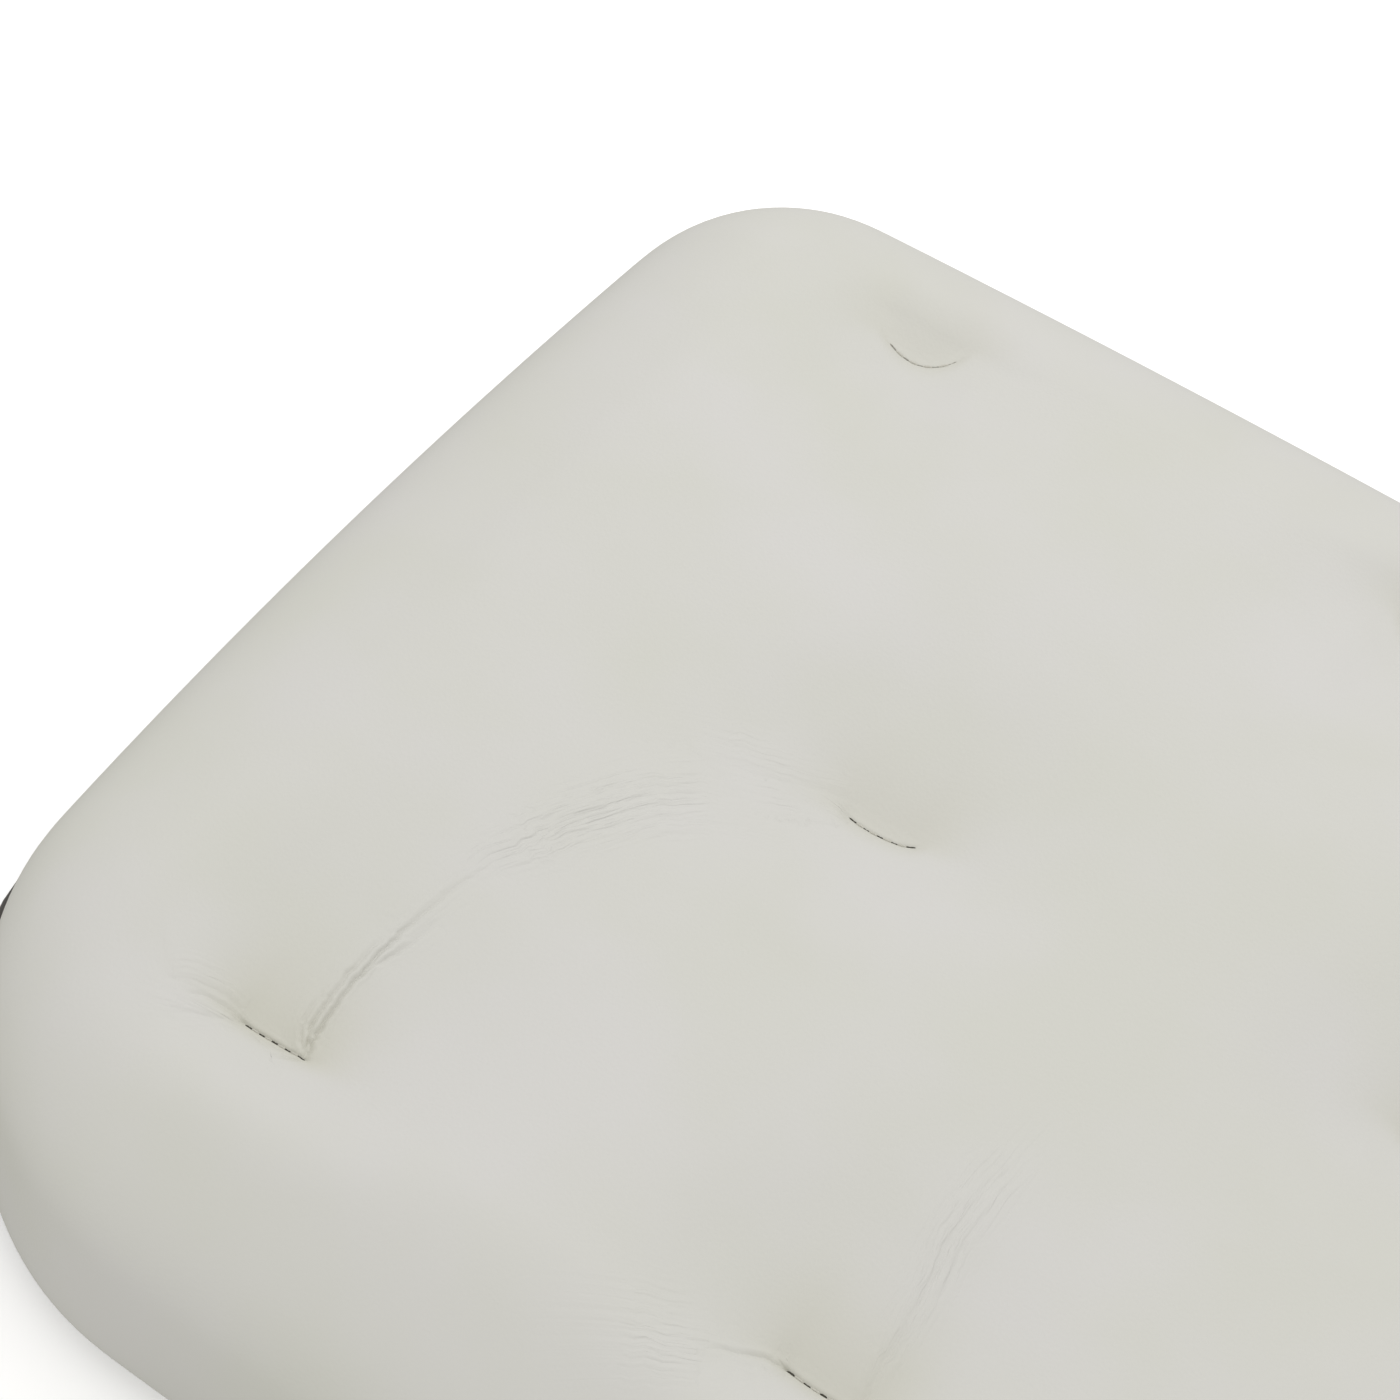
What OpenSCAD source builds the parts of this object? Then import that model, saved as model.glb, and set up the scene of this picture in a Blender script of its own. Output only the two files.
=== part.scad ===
// Tufted leather chair seat pad on a moulded base pan.
// Millimetres. +Z up, -Y is the front edge, +X is the sitter's left when seated facing -Y.
// The origin is the centre of the pan's underside, where the chair's frame bolts on.

/* [Cushion] */
// Width of the leather cushion, side to side
pad_w = 512; // [420:1:620]
// Depth of the leather cushion, front to back
pad_d = 410; // [390:1:500]
// Height of the leather's top above the underside of the pan
pad_top = 93; // [80:1:120]
// Plan radius of the two front corners
front_r = 102; // [60:1:125]
// Plan radius of the two back corners
back_r = 54; // [45:1:70]
// Radius of the roll between the top and the sides
roll_r = 42; // [34:1:42]
// How far the leather tucks in below its widest line
tuck_in = 16; // [8:1:17]

/* [Tufts] */
// Distance between tufts along a row
tuft_pitch = 160; // [120:1:170]
// Distance between the rows of tufts
row_gap = 147; // [120:1:147]
// Depth of the tuft wells below the leather's top
tuft_depth = 11; // [7:1:14]
// Length of the stitched seam at each tuft, end to end
seam_len = 17; // [12:1:18]
// Rise of the seam's curve between its ends
seam_rise = 3; // [2:0.5:4]
// Clear width round the seam at the bottom of its well
well_margin = 2; // [1:0.5:2.5]
// Diameter of the seam's visible thread
thread_d = 0.9; // [0.6:0.1:1.2]
// Diameter of the waxed tufting twine
twine_d = 1.6; // [1.2:0.1:2.2]
// Diameter of the washer that anchors each twine under the board
washer_d = 22; // [16:1:26]
// Thickness of the anchor washer
washer_t = 1.6; // [1:0.1:2]

/* [Layers] */
// Thickness of the leather
leather_t = 1.4; // [1:0.1:2]
// Thickness of the polyester wadding
wadding_t = 8; // [5:0.5:10]
// Thickness of the wadding where a tuft pinches it
pinch_t = 3; // [2:0.5:4]
// Thickness of the plywood seat board
board_t = 12; // [9:0.5:15]
// How far the board's edge lies inside the leather's widest line
board_inset = 28; // [28:1:32]
// Width of the leather hem under the board, measured from the tuck
hem_w = 26; // [22:1:26]

/* [Base pan] */
// Wall and floor thickness of the pan
pan_t = 3.5; // [2.5:0.1:4.5]
// Height of the pan's rim along the two sides
rim_h = 24; // [16:1:30]
// Height of the pan's rim along the front and the back
lip_h = 8; // [7.5:0.5:10]
// How far the pan stands out past the leather at each side
side_out = 8.5; // [6:0.5:12]
// How far the pan's front and back edges lie inside the leather
lip_set_back = 17; // [14:1:20]
// Gap between the front and back lips and the leather above them
lip_gap = 0.1; // [0.1:0.1:0.5]
// Radius of the pan's bottom edge
pan_edge_r = 6; // [4:0.5:7]
// How much tighter the pan's front corners are than the leather's
pan_front_trim = 10; // [4:1:16]
// How much rounder the pan's back corners are than the leather's
pan_back_ease = 6; // [2:1:10]
// Radius of the vent holes in the pan
vent_r = 5; // [3:0.5:6]
// Length of side rim that stands at full height, forward of the centre
rim_front = 118; // [80:1:120]
// Length of side rim that stands at full height, behind the centre
rim_back = 98; // [60:1:100]
// Distance over which the rim comes down to the lip
rim_fall = 44; // [30:1:46]

/* [Fasteners] */
// Spacing of the frame bolts, side to side
bolt_x = 240; // [200:1:260]
// Spacing of the frame bolts, front to back
bolt_y = 200; // [170:1:210]
// Radius of the thread bore in each T-nut
tnut_bore_r = 2.5; // [2.5:0.1:2.6]
// Radius of the T-nut barrel
tnut_barrel_r = 3.9; // [3.7:0.1:4.2]
// How much shorter the T-nut is than the board's thickness
tnut_short = 1.5; // [1:0.1:3]
// Radius of the T-nut flange
tnut_flange_r = 9.5; // [8:0.1:11]
// Thickness of the T-nut flange
tnut_flange_t = 1.2; // [1:0.1:1.5]
// Radius of the bolt clearance holes in the pan
bolt_hole_r = 3.4; // [3.2:0.1:3.8]
// Radius of a pan screw's shank
screw_r = 1.75; // [1.5:0.05:2.2]
// Radius of a pan screw's head
screw_head_r = 4; // [3.4:0.1:4.5]
// Height of a pan screw's head
screw_head_h = 2; // [1.5:0.1:2.4]
// Distance of the side screws from the board's edge
screw_edge = 33; // [30:1:40]
// Distance of the side screws from the centre line, front to back
screw_side_y = 70; // [60:1:80]
// Distance of the front and back screws inside their row of tufts
screw_row_in = 19; // [16:1:24]
// Radius of the pan's bosses round the frame bolts
bolt_boss_r = 11; // [9:0.5:13]
// Radius of the pan's bosses round its screws
screw_boss_r = 7; // [6:0.5:8]
// Depth of the pan screws in the board
screw_bite = 9; // [6:0.5:9]
// Number of staples along the front edge, and along the back edge
staples_wide = 8; // [5:1:11]
// Number of staples along each side edge
staples_deep = 6; // [4:1:7]
// Crown width of a staple
staple_w = 10; // [8:1:13]
// Leg length of a staple
staple_leg = 8; // [5:0.5:8]
// Thickness of the staple wire
staple_wire = 0.6; // [0.5:0.1:0.8]

/* [Hidden] */

// Clearance round a shank or twine that passes through a hole
clear = 0.1;
// Wider clearance round what has to drop in by hand
free_clear = 0.5;
// How far the screw heads lie above the pan's underside
head_sunk = 0.3;
// Number of straight steps along each quarter curve of an edge profile
steps = 8;

// Levels, from the pan's underside up
hem_z = lip_h + lip_gap;
board_z = hem_z + leather_t;
board_top = board_z + board_t;
widest_z = pad_top - roll_r;
foam_top_z = pad_top - leather_t - wadding_t;
tuft_z = pad_top - tuft_depth;
hem_inset = tuck_in + leather_t + hem_w;
layer_t = leather_t + wadding_t;

// Tuft wells, one radius for each layer
well_r = seam_len / 2 + well_margin;
well_under_r = well_r + leather_t;
well_foam_r = well_under_r + pinch_t;

// Plan of the pan
pan_w = pad_w + 2 * side_out;
pan_d = pad_d - 2 * lip_set_back;
pan_front_r = front_r - pan_front_trim;
pan_back_r = back_r + pan_back_ease;
pan_ring = 30;

// Places of what repeats
function row_of(k) = k <= 3 ? 1 : (k <= 5 ? 0 : -1);
function place_in_row(k) = k <= 3 ? k - 2 : (k <= 5 ? k - 4.5 : k - 7);
function tuft_at(k) = [place_in_row(k) * tuft_pitch, row_of(k) * row_gap];
bolt_places = [for (sx = [-1, 1], sy = [-1, 1]) [sx * bolt_x / 2, sy * bolt_y / 2]];
screw_places = [
    for (sx = [-1, 1], sy = [-1, 1])
        each [
            [sx * (pad_w / 2 - board_inset - screw_edge), sy * screw_side_y],
            [sx * tuft_pitch / 2, sy * (row_gap - screw_row_in)]
        ]
];
vent_places = [for (sx = [-1, 1], sy = [-1, 1]) [sx * tuft_pitch / 4, sy * row_gap / 2]];

// Quarter curves of the edge profile, as [inset, height] points.
// o is the depth of the layer under the leather's surface.
function roll_curve(o) = [
    for (i = [0 : steps]) let (a = 90 * i / steps)
        [roll_r - (roll_r - o) * cos(a), widest_z + (roll_r - o) * sin(a)]
];
function tuck_curve(o, low, last = 90) = [
    for (i = [0 : steps]) let (a = last * i / steps)
        [o + tuck_in * (1 - cos(a)), widest_z - (widest_z - low) * sin(a)]
];
function back_to_front(list) = [for (i = [len(list) - 1 : -1 : 0]) list[i]];

// Sweeps a closed profile of [inset, height] points round a plan with rounded corners.
module sweep_edge(profile, w, d, rf, rb) {
    for (side = [0, 1]) mirror([side, 0, 0]) {
        translate([w / 2 - rb, d / 2 - rb, 0])
            rotate_extrude(angle = 90, $fn = 64) polygon([for (p = profile) [rb - p[0], p[1]]]);
        translate([w / 2 - rf, -d / 2 + rf, 0]) rotate([0, 0, -90])
            rotate_extrude(angle = 90, $fn = 64) polygon([for (p = profile) [rf - p[0], p[1]]]);
        translate([0, d / 2 - rb, 0]) rotate([90, 0, 0])
            linear_extrude(height = d - rb - rf) polygon([for (p = profile) [w / 2 - p[0], p[1]]]);
    }
    translate([w / 2 - rb, 0, 0]) rotate([90, 0, -90])
        linear_extrude(height = w - 2 * rb) polygon([for (p = profile) [p[0] - d / 2, p[1]]]);
    translate([-w / 2 + rf, 0, 0]) rotate([90, 0, 90])
        linear_extrude(height = w - 2 * rf) polygon([for (p = profile) [p[0] - d / 2, p[1]]]);
}

// A flat plan with rounded corners, set in from the full plan by inset.
module plan(w, d, rf, rb, inset) {
    x = w / 2 - inset;
    y = d / 2 - inset;
    f = rf - inset;
    b = rb - inset;
    polygon([
        [-x + f, -y], [x - f, -y], [x, -y + f], [x, y - b],
        [x - b, y], [-x + b, y], [-x, y - b], [-x, -y + f]
    ]);
    for (sx = [-1, 1]) {
        translate([sx * (x - f), -y + f]) circle(r = f, $fn = 96);
        translate([sx * (x - b), y - b]) circle(r = b, $fn = 96);
    }
}

module pad_sweep(profile) {
    sweep_edge(profile, pad_w, pad_d, front_r, back_r);
}

module pad_plate(inset, low, high) {
    translate([0, 0, low]) linear_extrude(height = high - low)
        plan(pad_w, pad_d, front_r, back_r, inset);
}

module at_tufts() {
    for (k = [1 : 8]) translate(tuft_at(k)) children();
}

module twine_holes(low, high) {
    at_tufts() translate([0, 0, low]) cylinder(r = twine_d / 2 + clear, h = high - low, $fn = 24);
}

// One leather well: a floor for the seam, a wall, and a flat bottom.
module well_cup(outer_r, floor_z, wall, top_z) {
    difference() {
        translate([0, 0, floor_z - wall]) cylinder(r = outer_r + wall, h = top_z - floor_z + wall, $fn = 48);
        translate([0, 0, floor_z]) cylinder(r = outer_r, h = top_z - floor_z + 1, $fn = 48);
    }
}

module staple(outer) {
    wire = staple_wire + outer;
    translate([-staple_w / 2 - outer / 2, -wire / 2, hem_z - staple_wire - outer / 2])
        cube([staple_w + outer, wire, wire]);
    for (s = [-1, 1])
        translate([s * (staple_w - staple_wire) / 2 - wire / 2, -wire / 2, hem_z - staple_wire])
            cube([wire, wire, staple_leg + outer]);
}

// The rows of staples in the middle of the hem's stretch under the board.
staple_inset = (board_inset + hem_inset) / 2;
module at_staples() {
    x_run = pad_w - 2 * front_r;
    y_run = pad_d - front_r - back_r - staple_w;
    for (i = [0 : staples_wide - 1]) {
        x = (i / (staples_wide - 1) - 0.5) * x_run;
        for (s = [-1, 1]) translate([x, s * (pad_d / 2 - staple_inset), 0]) children();
    }
    for (i = [0 : staples_deep - 1]) {
        y = (front_r - back_r) / 2 + (i / (staples_deep - 1) - 0.5) * y_run;
        for (s = [-1, 1]) translate([s * (pad_w / 2 - staple_inset), y, 0]) rotate([0, 0, 90]) children();
    }
}

module top_cover() {
    outer = concat(back_to_front(tuck_curve(0, hem_z)), roll_curve(0));
    inner = concat(back_to_front(tuck_curve(leather_t, board_z)), roll_curve(leather_t));
    color("#d8d6d0") difference() {
        union() {
            pad_sweep(concat([[hem_inset, hem_z]], outer, back_to_front(inner), [[hem_inset, board_z]]));
            difference() {
                pad_plate(roll_r, pad_top - leather_t, pad_top);
                at_tufts() translate([0, 0, tuft_z]) cylinder(r = well_r + leather_t / 2, h = pad_top, $fn = 48);
            }
            at_tufts() well_cup(well_r, tuft_z, leather_t, pad_top);
        }
        at_staples() staple(clear);
    }
}

module wadding() {
    outer = concat(back_to_front(tuck_curve(leather_t, board_z)), roll_curve(leather_t));
    inner = roll_curve(layer_t);
    last = asin((widest_z - board_top) / (widest_z - board_z));
    lower = tuck_curve(layer_t, board_z, last);
    color("#f4f4f0") difference() {
        union() {
            pad_sweep(concat(
                outer, back_to_front(inner), lower,
                [[board_inset, board_top], [board_inset, board_z]]
            ));
            difference() {
                pad_plate(roll_r, foam_top_z, pad_top - leather_t);
                at_tufts() translate([0, 0, foam_top_z - 1]) cylinder(r = well_foam_r - 1, h = pad_top, $fn = 48);
            }
            at_tufts() difference() {
                translate([0, 0, tuft_z - leather_t - pinch_t])
                    cylinder(r = well_foam_r, h = pad_top - tuft_z + pinch_t, $fn = 48);
                translate([0, 0, tuft_z - leather_t])
                    cylinder(r = well_under_r, h = pad_top, $fn = 48);
            }
        }
        twine_holes(0, pad_top);
    }
}

module foam_top() {
    color("#f1e3b5") difference() {
        union() {
            pad_sweep(concat(roll_curve(layer_t), [[roll_r, widest_z]]));
            pad_plate(roll_r, widest_z, foam_top_z);
        }
        at_tufts() translate([0, 0, tuft_z - leather_t - pinch_t])
            cylinder(r = well_foam_r, h = pad_top, $fn = 48);
        twine_holes(0, pad_top);
    }
}

module foam_base() {
    last = asin((widest_z - board_top) / (widest_z - board_z));
    color("#c9d9ea") difference() {
        union() {
            pad_sweep(concat(
                tuck_curve(layer_t, board_z, last),
                [[roll_r, board_top], [roll_r, widest_z]]
            ));
            pad_plate(roll_r, board_top, widest_z);
        }
        twine_holes(0, pad_top);
    }
}

module seat_board() {
    color("#c49a62") difference() {
        pad_plate(board_inset, board_z, board_top);
        at_tufts() translate([0, 0, board_z - 1])
            cylinder(r = twine_d / 2 + free_clear, h = board_t + 2, $fn = 32);
        for (p = bolt_places) translate([p[0], p[1], 0]) {
            translate([0, 0, board_z - 1]) cylinder(r = tnut_barrel_r + clear, h = board_t + 2, $fn = 48);
            translate([0, 0, board_top - tnut_flange_t])
                cylinder(r = tnut_flange_r + clear, h = tnut_flange_t + 1, $fn = 48);
        }
        for (p = screw_places) translate([p[0], p[1], board_z - 1])
            cylinder(r = screw_r + clear, h = screw_bite + 1 + clear, $fn = 24);
        for (p = vent_places) translate([p[0], p[1], board_z - 1])
            cylinder(r = 2 * vent_r, h = board_t + 2, $fn = 48);
        at_staples() staple(clear);
    }
}

// The visible row of thread on the floor of its well, curved like a smile towards the front.
module tuft_stitch(k) {
    arc_r = (pow(seam_len / 2, 2) + pow(seam_rise, 2)) / (2 * seam_rise);
    half = asin(seam_len / 2 / arc_r);
    place = tuft_at(k);
    color("#9a9788")
        translate([place[0], place[1] + arc_r - seam_rise / 2, tuft_z + thread_d / 2 + clear])
            rotate([0, 0, -90 - half])
                rotate_extrude(angle = 2 * half, $fn = 96)
                    translate([arc_r, 0]) circle(r = thread_d / 2, $fn = 16);
}

// Twine from under the leather down through foam and board to a knot below the washer.
knot_r = 1.7;
module tuft_twine(k) {
    knot_z = board_z - washer_t - knot_r - clear;
    color("#e8e0cf") translate(tuft_at(k)) {
        translate([0, 0, knot_z])
            cylinder(r = twine_d / 2, h = tuft_z - leather_t - clear - knot_z, $fn = 24);
        translate([0, 0, knot_z]) sphere(r = knot_r, $fn = 32);
    }
}

module tuft_washer(k) {
    color("#b9bcc0") translate(tuft_at(k)) difference() {
        translate([0, 0, board_z - washer_t]) cylinder(r = washer_d / 2, h = washer_t, $fn = 48);
        translate([0, 0, board_z - washer_t - 1]) cylinder(r = twine_d / 2 + clear, h = washer_t + 2, $fn = 24);
    }
}

module t_nut(k) {
    place = bolt_places[k - 1];
    barrel = board_t - tnut_short;
    color("#c2c4c6") translate([place[0], place[1], 0]) difference() {
        union() {
            translate([0, 0, board_top - tnut_flange_t]) cylinder(r = tnut_flange_r, h = tnut_flange_t, $fn = 48);
            translate([0, 0, board_top - barrel]) cylinder(r = tnut_barrel_r, h = barrel, $fn = 48);
        }
        translate([0, 0, board_z - 1]) cylinder(r = tnut_bore_r, h = board_t + 2, $fn = 48);
    }
}

module cover_staples() {
    color("#a9abad") at_staples() staple(0);
}

// Height of the rim along the side, falling in a smooth curve to the lip.
function fall(t) = lip_h + (rim_h - lip_h) * (1 + cos(180 * t)) / 2;
module above_rim() {
    beyond = pan_d;
    cut = concat(
        [[-beyond, lip_h]],
        [for (i = [steps : -1 : 0]) [-rim_front - rim_fall * i / steps, fall(i / steps)]],
        [for (i = [0 : steps]) [rim_back + rim_fall * i / steps, fall(i / steps)]],
        [[beyond, lip_h], [beyond, 2 * rim_h], [-beyond, 2 * rim_h]]
    );
    translate([-pan_w, 0, 0]) rotate([90, 0, 90]) linear_extrude(height = 2 * pan_w) polygon(cut);
}

module base_pan() {
    outside = [for (i = [0 : steps]) let (a = 90 * i / steps)
        [pan_edge_r * (1 - sin(a)), pan_edge_r * (1 - cos(a))]];
    wall = concat(
        [[pan_ring, 0]], outside,
        [[0, rim_h], [pan_t, rim_h], [pan_t, pan_edge_r], [pan_edge_r, pan_t], [pan_ring, pan_t]]
    );
    color("#3c3936") difference() {
        union() {
            difference() {
                sweep_edge(wall, pan_w, pan_d, pan_front_r, pan_back_r);
                above_rim();
            }
            linear_extrude(height = pan_t) plan(pan_w, pan_d, pan_front_r, pan_back_r, pan_ring);
            for (p = bolt_places) translate([p[0], p[1], 0]) cylinder(r = bolt_boss_r, h = board_z, $fn = 48);
            for (p = screw_places) translate([p[0], p[1], 0]) cylinder(r = screw_boss_r, h = board_z, $fn = 48);
        }
        for (p = bolt_places) translate([p[0], p[1], -1]) cylinder(r = bolt_hole_r, h = board_z + 2, $fn = 48);
        for (p = screw_places) translate([p[0], p[1], -1]) {
            cylinder(r = screw_r + free_clear, h = board_z + 2, $fn = 24);
            cylinder(r = screw_head_r + free_clear, h = 1 + head_sunk + screw_head_h, $fn = 48);
        }
        for (p = vent_places) translate([p[0], p[1], -1]) cylinder(r = vent_r, h = pan_t + 2, $fn = 48);
    }
}

module pan_screws() {
    seat = head_sunk + screw_head_h;
    color("#6f7173") for (p = screw_places) translate([p[0], p[1], 0]) {
        translate([0, 0, head_sunk]) cylinder(r = screw_head_r, h = screw_head_h, $fn = 48);
        translate([0, 0, seat]) cylinder(r = screw_r, h = board_z + screw_bite - seat, $fn = 24);
    }
}

top_cover();
wadding();
foam_top();
foam_base();
seat_board();
tuft_stitch(1);  // tuft_stitch_1
tuft_stitch(2);  // tuft_stitch_2
tuft_stitch(3);  // tuft_stitch_3
tuft_stitch(4);  // tuft_stitch_4
tuft_stitch(5);  // tuft_stitch_5
tuft_stitch(6);  // tuft_stitch_6
tuft_stitch(7);  // tuft_stitch_7
tuft_stitch(8);  // tuft_stitch_8
tuft_twine(1);  // tuft_twine_1
tuft_twine(2);  // tuft_twine_2
tuft_twine(3);  // tuft_twine_3
tuft_twine(4);  // tuft_twine_4
tuft_twine(5);  // tuft_twine_5
tuft_twine(6);  // tuft_twine_6
tuft_twine(7);  // tuft_twine_7
tuft_twine(8);  // tuft_twine_8
tuft_washer(1);  // tuft_washer_1
tuft_washer(2);  // tuft_washer_2
tuft_washer(3);  // tuft_washer_3
tuft_washer(4);  // tuft_washer_4
tuft_washer(5);  // tuft_washer_5
tuft_washer(6);  // tuft_washer_6
tuft_washer(7);  // tuft_washer_7
tuft_washer(8);  // tuft_washer_8
t_nut(1);  // t_nut_1
t_nut(2);  // t_nut_2
t_nut(3);  // t_nut_3
t_nut(4);  // t_nut_4
cover_staples();
base_pan();
pan_screws();
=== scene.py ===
"""The look of a tufted leather chair seat pad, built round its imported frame.

Everything is in metres in the frame's own axes: +Z up, -Y the front edge. Sizes that the frame
holds are read from it, and sizes that are easier to read in millimetres are multiplied by MM.
"""

import logging
import math
from collections.abc import Iterable, Mapping, Sequence
from dataclasses import dataclass, field, replace
from enum import Enum

import bmesh
import bpy
import numpy as np
from mathutils import Matrix, Vector
from mathutils.bvhtree import BVHTree


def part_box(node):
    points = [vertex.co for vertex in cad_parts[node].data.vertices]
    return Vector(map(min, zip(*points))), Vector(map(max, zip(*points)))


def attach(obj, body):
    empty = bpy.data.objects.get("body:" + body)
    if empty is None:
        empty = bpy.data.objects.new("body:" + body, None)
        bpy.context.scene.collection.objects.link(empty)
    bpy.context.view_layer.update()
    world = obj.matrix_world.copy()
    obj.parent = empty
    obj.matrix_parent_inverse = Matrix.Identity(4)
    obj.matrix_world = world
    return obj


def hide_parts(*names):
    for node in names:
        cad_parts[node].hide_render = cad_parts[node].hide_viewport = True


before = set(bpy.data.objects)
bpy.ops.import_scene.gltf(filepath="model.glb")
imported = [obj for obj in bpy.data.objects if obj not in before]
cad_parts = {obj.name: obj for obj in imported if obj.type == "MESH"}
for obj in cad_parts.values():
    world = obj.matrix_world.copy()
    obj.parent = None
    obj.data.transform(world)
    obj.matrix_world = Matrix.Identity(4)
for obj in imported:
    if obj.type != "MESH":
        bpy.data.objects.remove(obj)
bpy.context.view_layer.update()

MM = 0.001
BODY = "root"
TUFT_COUNT = 8
FAR = 30 * MM
LOG = logging.getLogger("seat_pad")

Points = np.ndarray
Face = tuple[int, ...]
Places = Sequence[tuple[float, float]]


class Slot(Enum):
    """The record's material slots, which key the hardware's finishes."""

    LEATHER = "leather"
    WADDING = "wadding"
    FOAM_SOFT = "foam_soft"
    FOAM_FIRM = "foam_firm"
    PLYWOOD = "plywood"
    SEAM_THREAD = "seam_thread"
    TWINE = "twine"
    WASHER = "washer_steel"
    ZINC = "zinc_steel"
    STAPLE = "steel_wire"
    PAN = "pan"
    SCREW = "screw_steel"


# ---------------------------------------------------------------- colour and nodes


def linear(colour: str) -> tuple[float, float, float, float]:
    """Turns an sRGB hex colour into linear RGBA.

    Args:
        colour: Six hex digits with a leading hash.

    Returns:
        Linear red, green, blue and an alpha of 1.
    """
    parts = [int(colour[i : i + 2], 16) / 255 for i in (1, 3, 5)]
    red, green, blue = (c / 12.92 if c <= 0.04045 else ((c + 0.055) / 1.055) ** 2.4 for c in parts)
    return red, green, blue, 1.0


def add_node(
    tree: bpy.types.NodeTree,
    kind: str,
    settings: Mapping[str | int, object] | None = None,
    links: Mapping[str | int, bpy.types.NodeSocket] | None = None,
) -> bpy.types.Node:
    """Adds one shader node with its settings and links.

    Args:
        tree: The node tree.
        kind: The node's type name.
        settings: Values by input name or number, or by the node's own property. The key "stops"
            takes a ramp's two stops, each a place from 0 to 1 and a hex colour.
        links: Output sockets by the input that each one feeds.

    Returns:
        The new node.
    """
    node = tree.nodes.new(kind)
    for key, value in (settings or {}).items():
        if key == "stops":
            for stop, (place, colour) in zip(node.color_ramp.elements, value):
                stop.position = place
                stop.color = linear(colour)
        elif isinstance(key, int) or key in node.inputs:
            node.inputs[key].default_value = value
        else:
            setattr(node, key, value)
    for key, socket in (links or {}).items():
        tree.links.new(socket, node.inputs[key])
    return node


def new_tree(name: str) -> tuple[bpy.types.Material, bpy.types.NodeTree, bpy.types.NodeSocket]:
    """Makes an empty material.

    Args:
        name: The material's name.

    Returns:
        The material, its node tree, and a point in millimetres in the frame's axes.
    """
    material = bpy.data.materials.new(name)
    material.use_nodes = True
    tree = material.node_tree
    tree.nodes.clear()
    place = add_node(tree, "ShaderNodeTexCoord")
    scaled = add_node(
        tree,
        "ShaderNodeVectorMath",
        {"operation": "MULTIPLY", 1: (1 / MM,) * 3},
        {0: place.outputs["Object"]},
    )
    return material, tree, scaled.outputs["Vector"]


def close_tree(
    tree: bpy.types.NodeTree,
    settings: Mapping[str | int, object],
    links: Mapping[str | int, bpy.types.NodeSocket],
) -> None:
    """Adds the Principled surface and the output.

    Args:
        tree: The node tree.
        settings: Values for the surface's own sockets.
        links: What feeds its other sockets.
    """
    surface = add_node(tree, "ShaderNodeBsdfPrincipled", settings, links)
    add_node(tree, "ShaderNodeOutputMaterial", links={"Surface": surface.outputs["BSDF"]})


# ---------------------------------------------------------------- finishes


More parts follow.
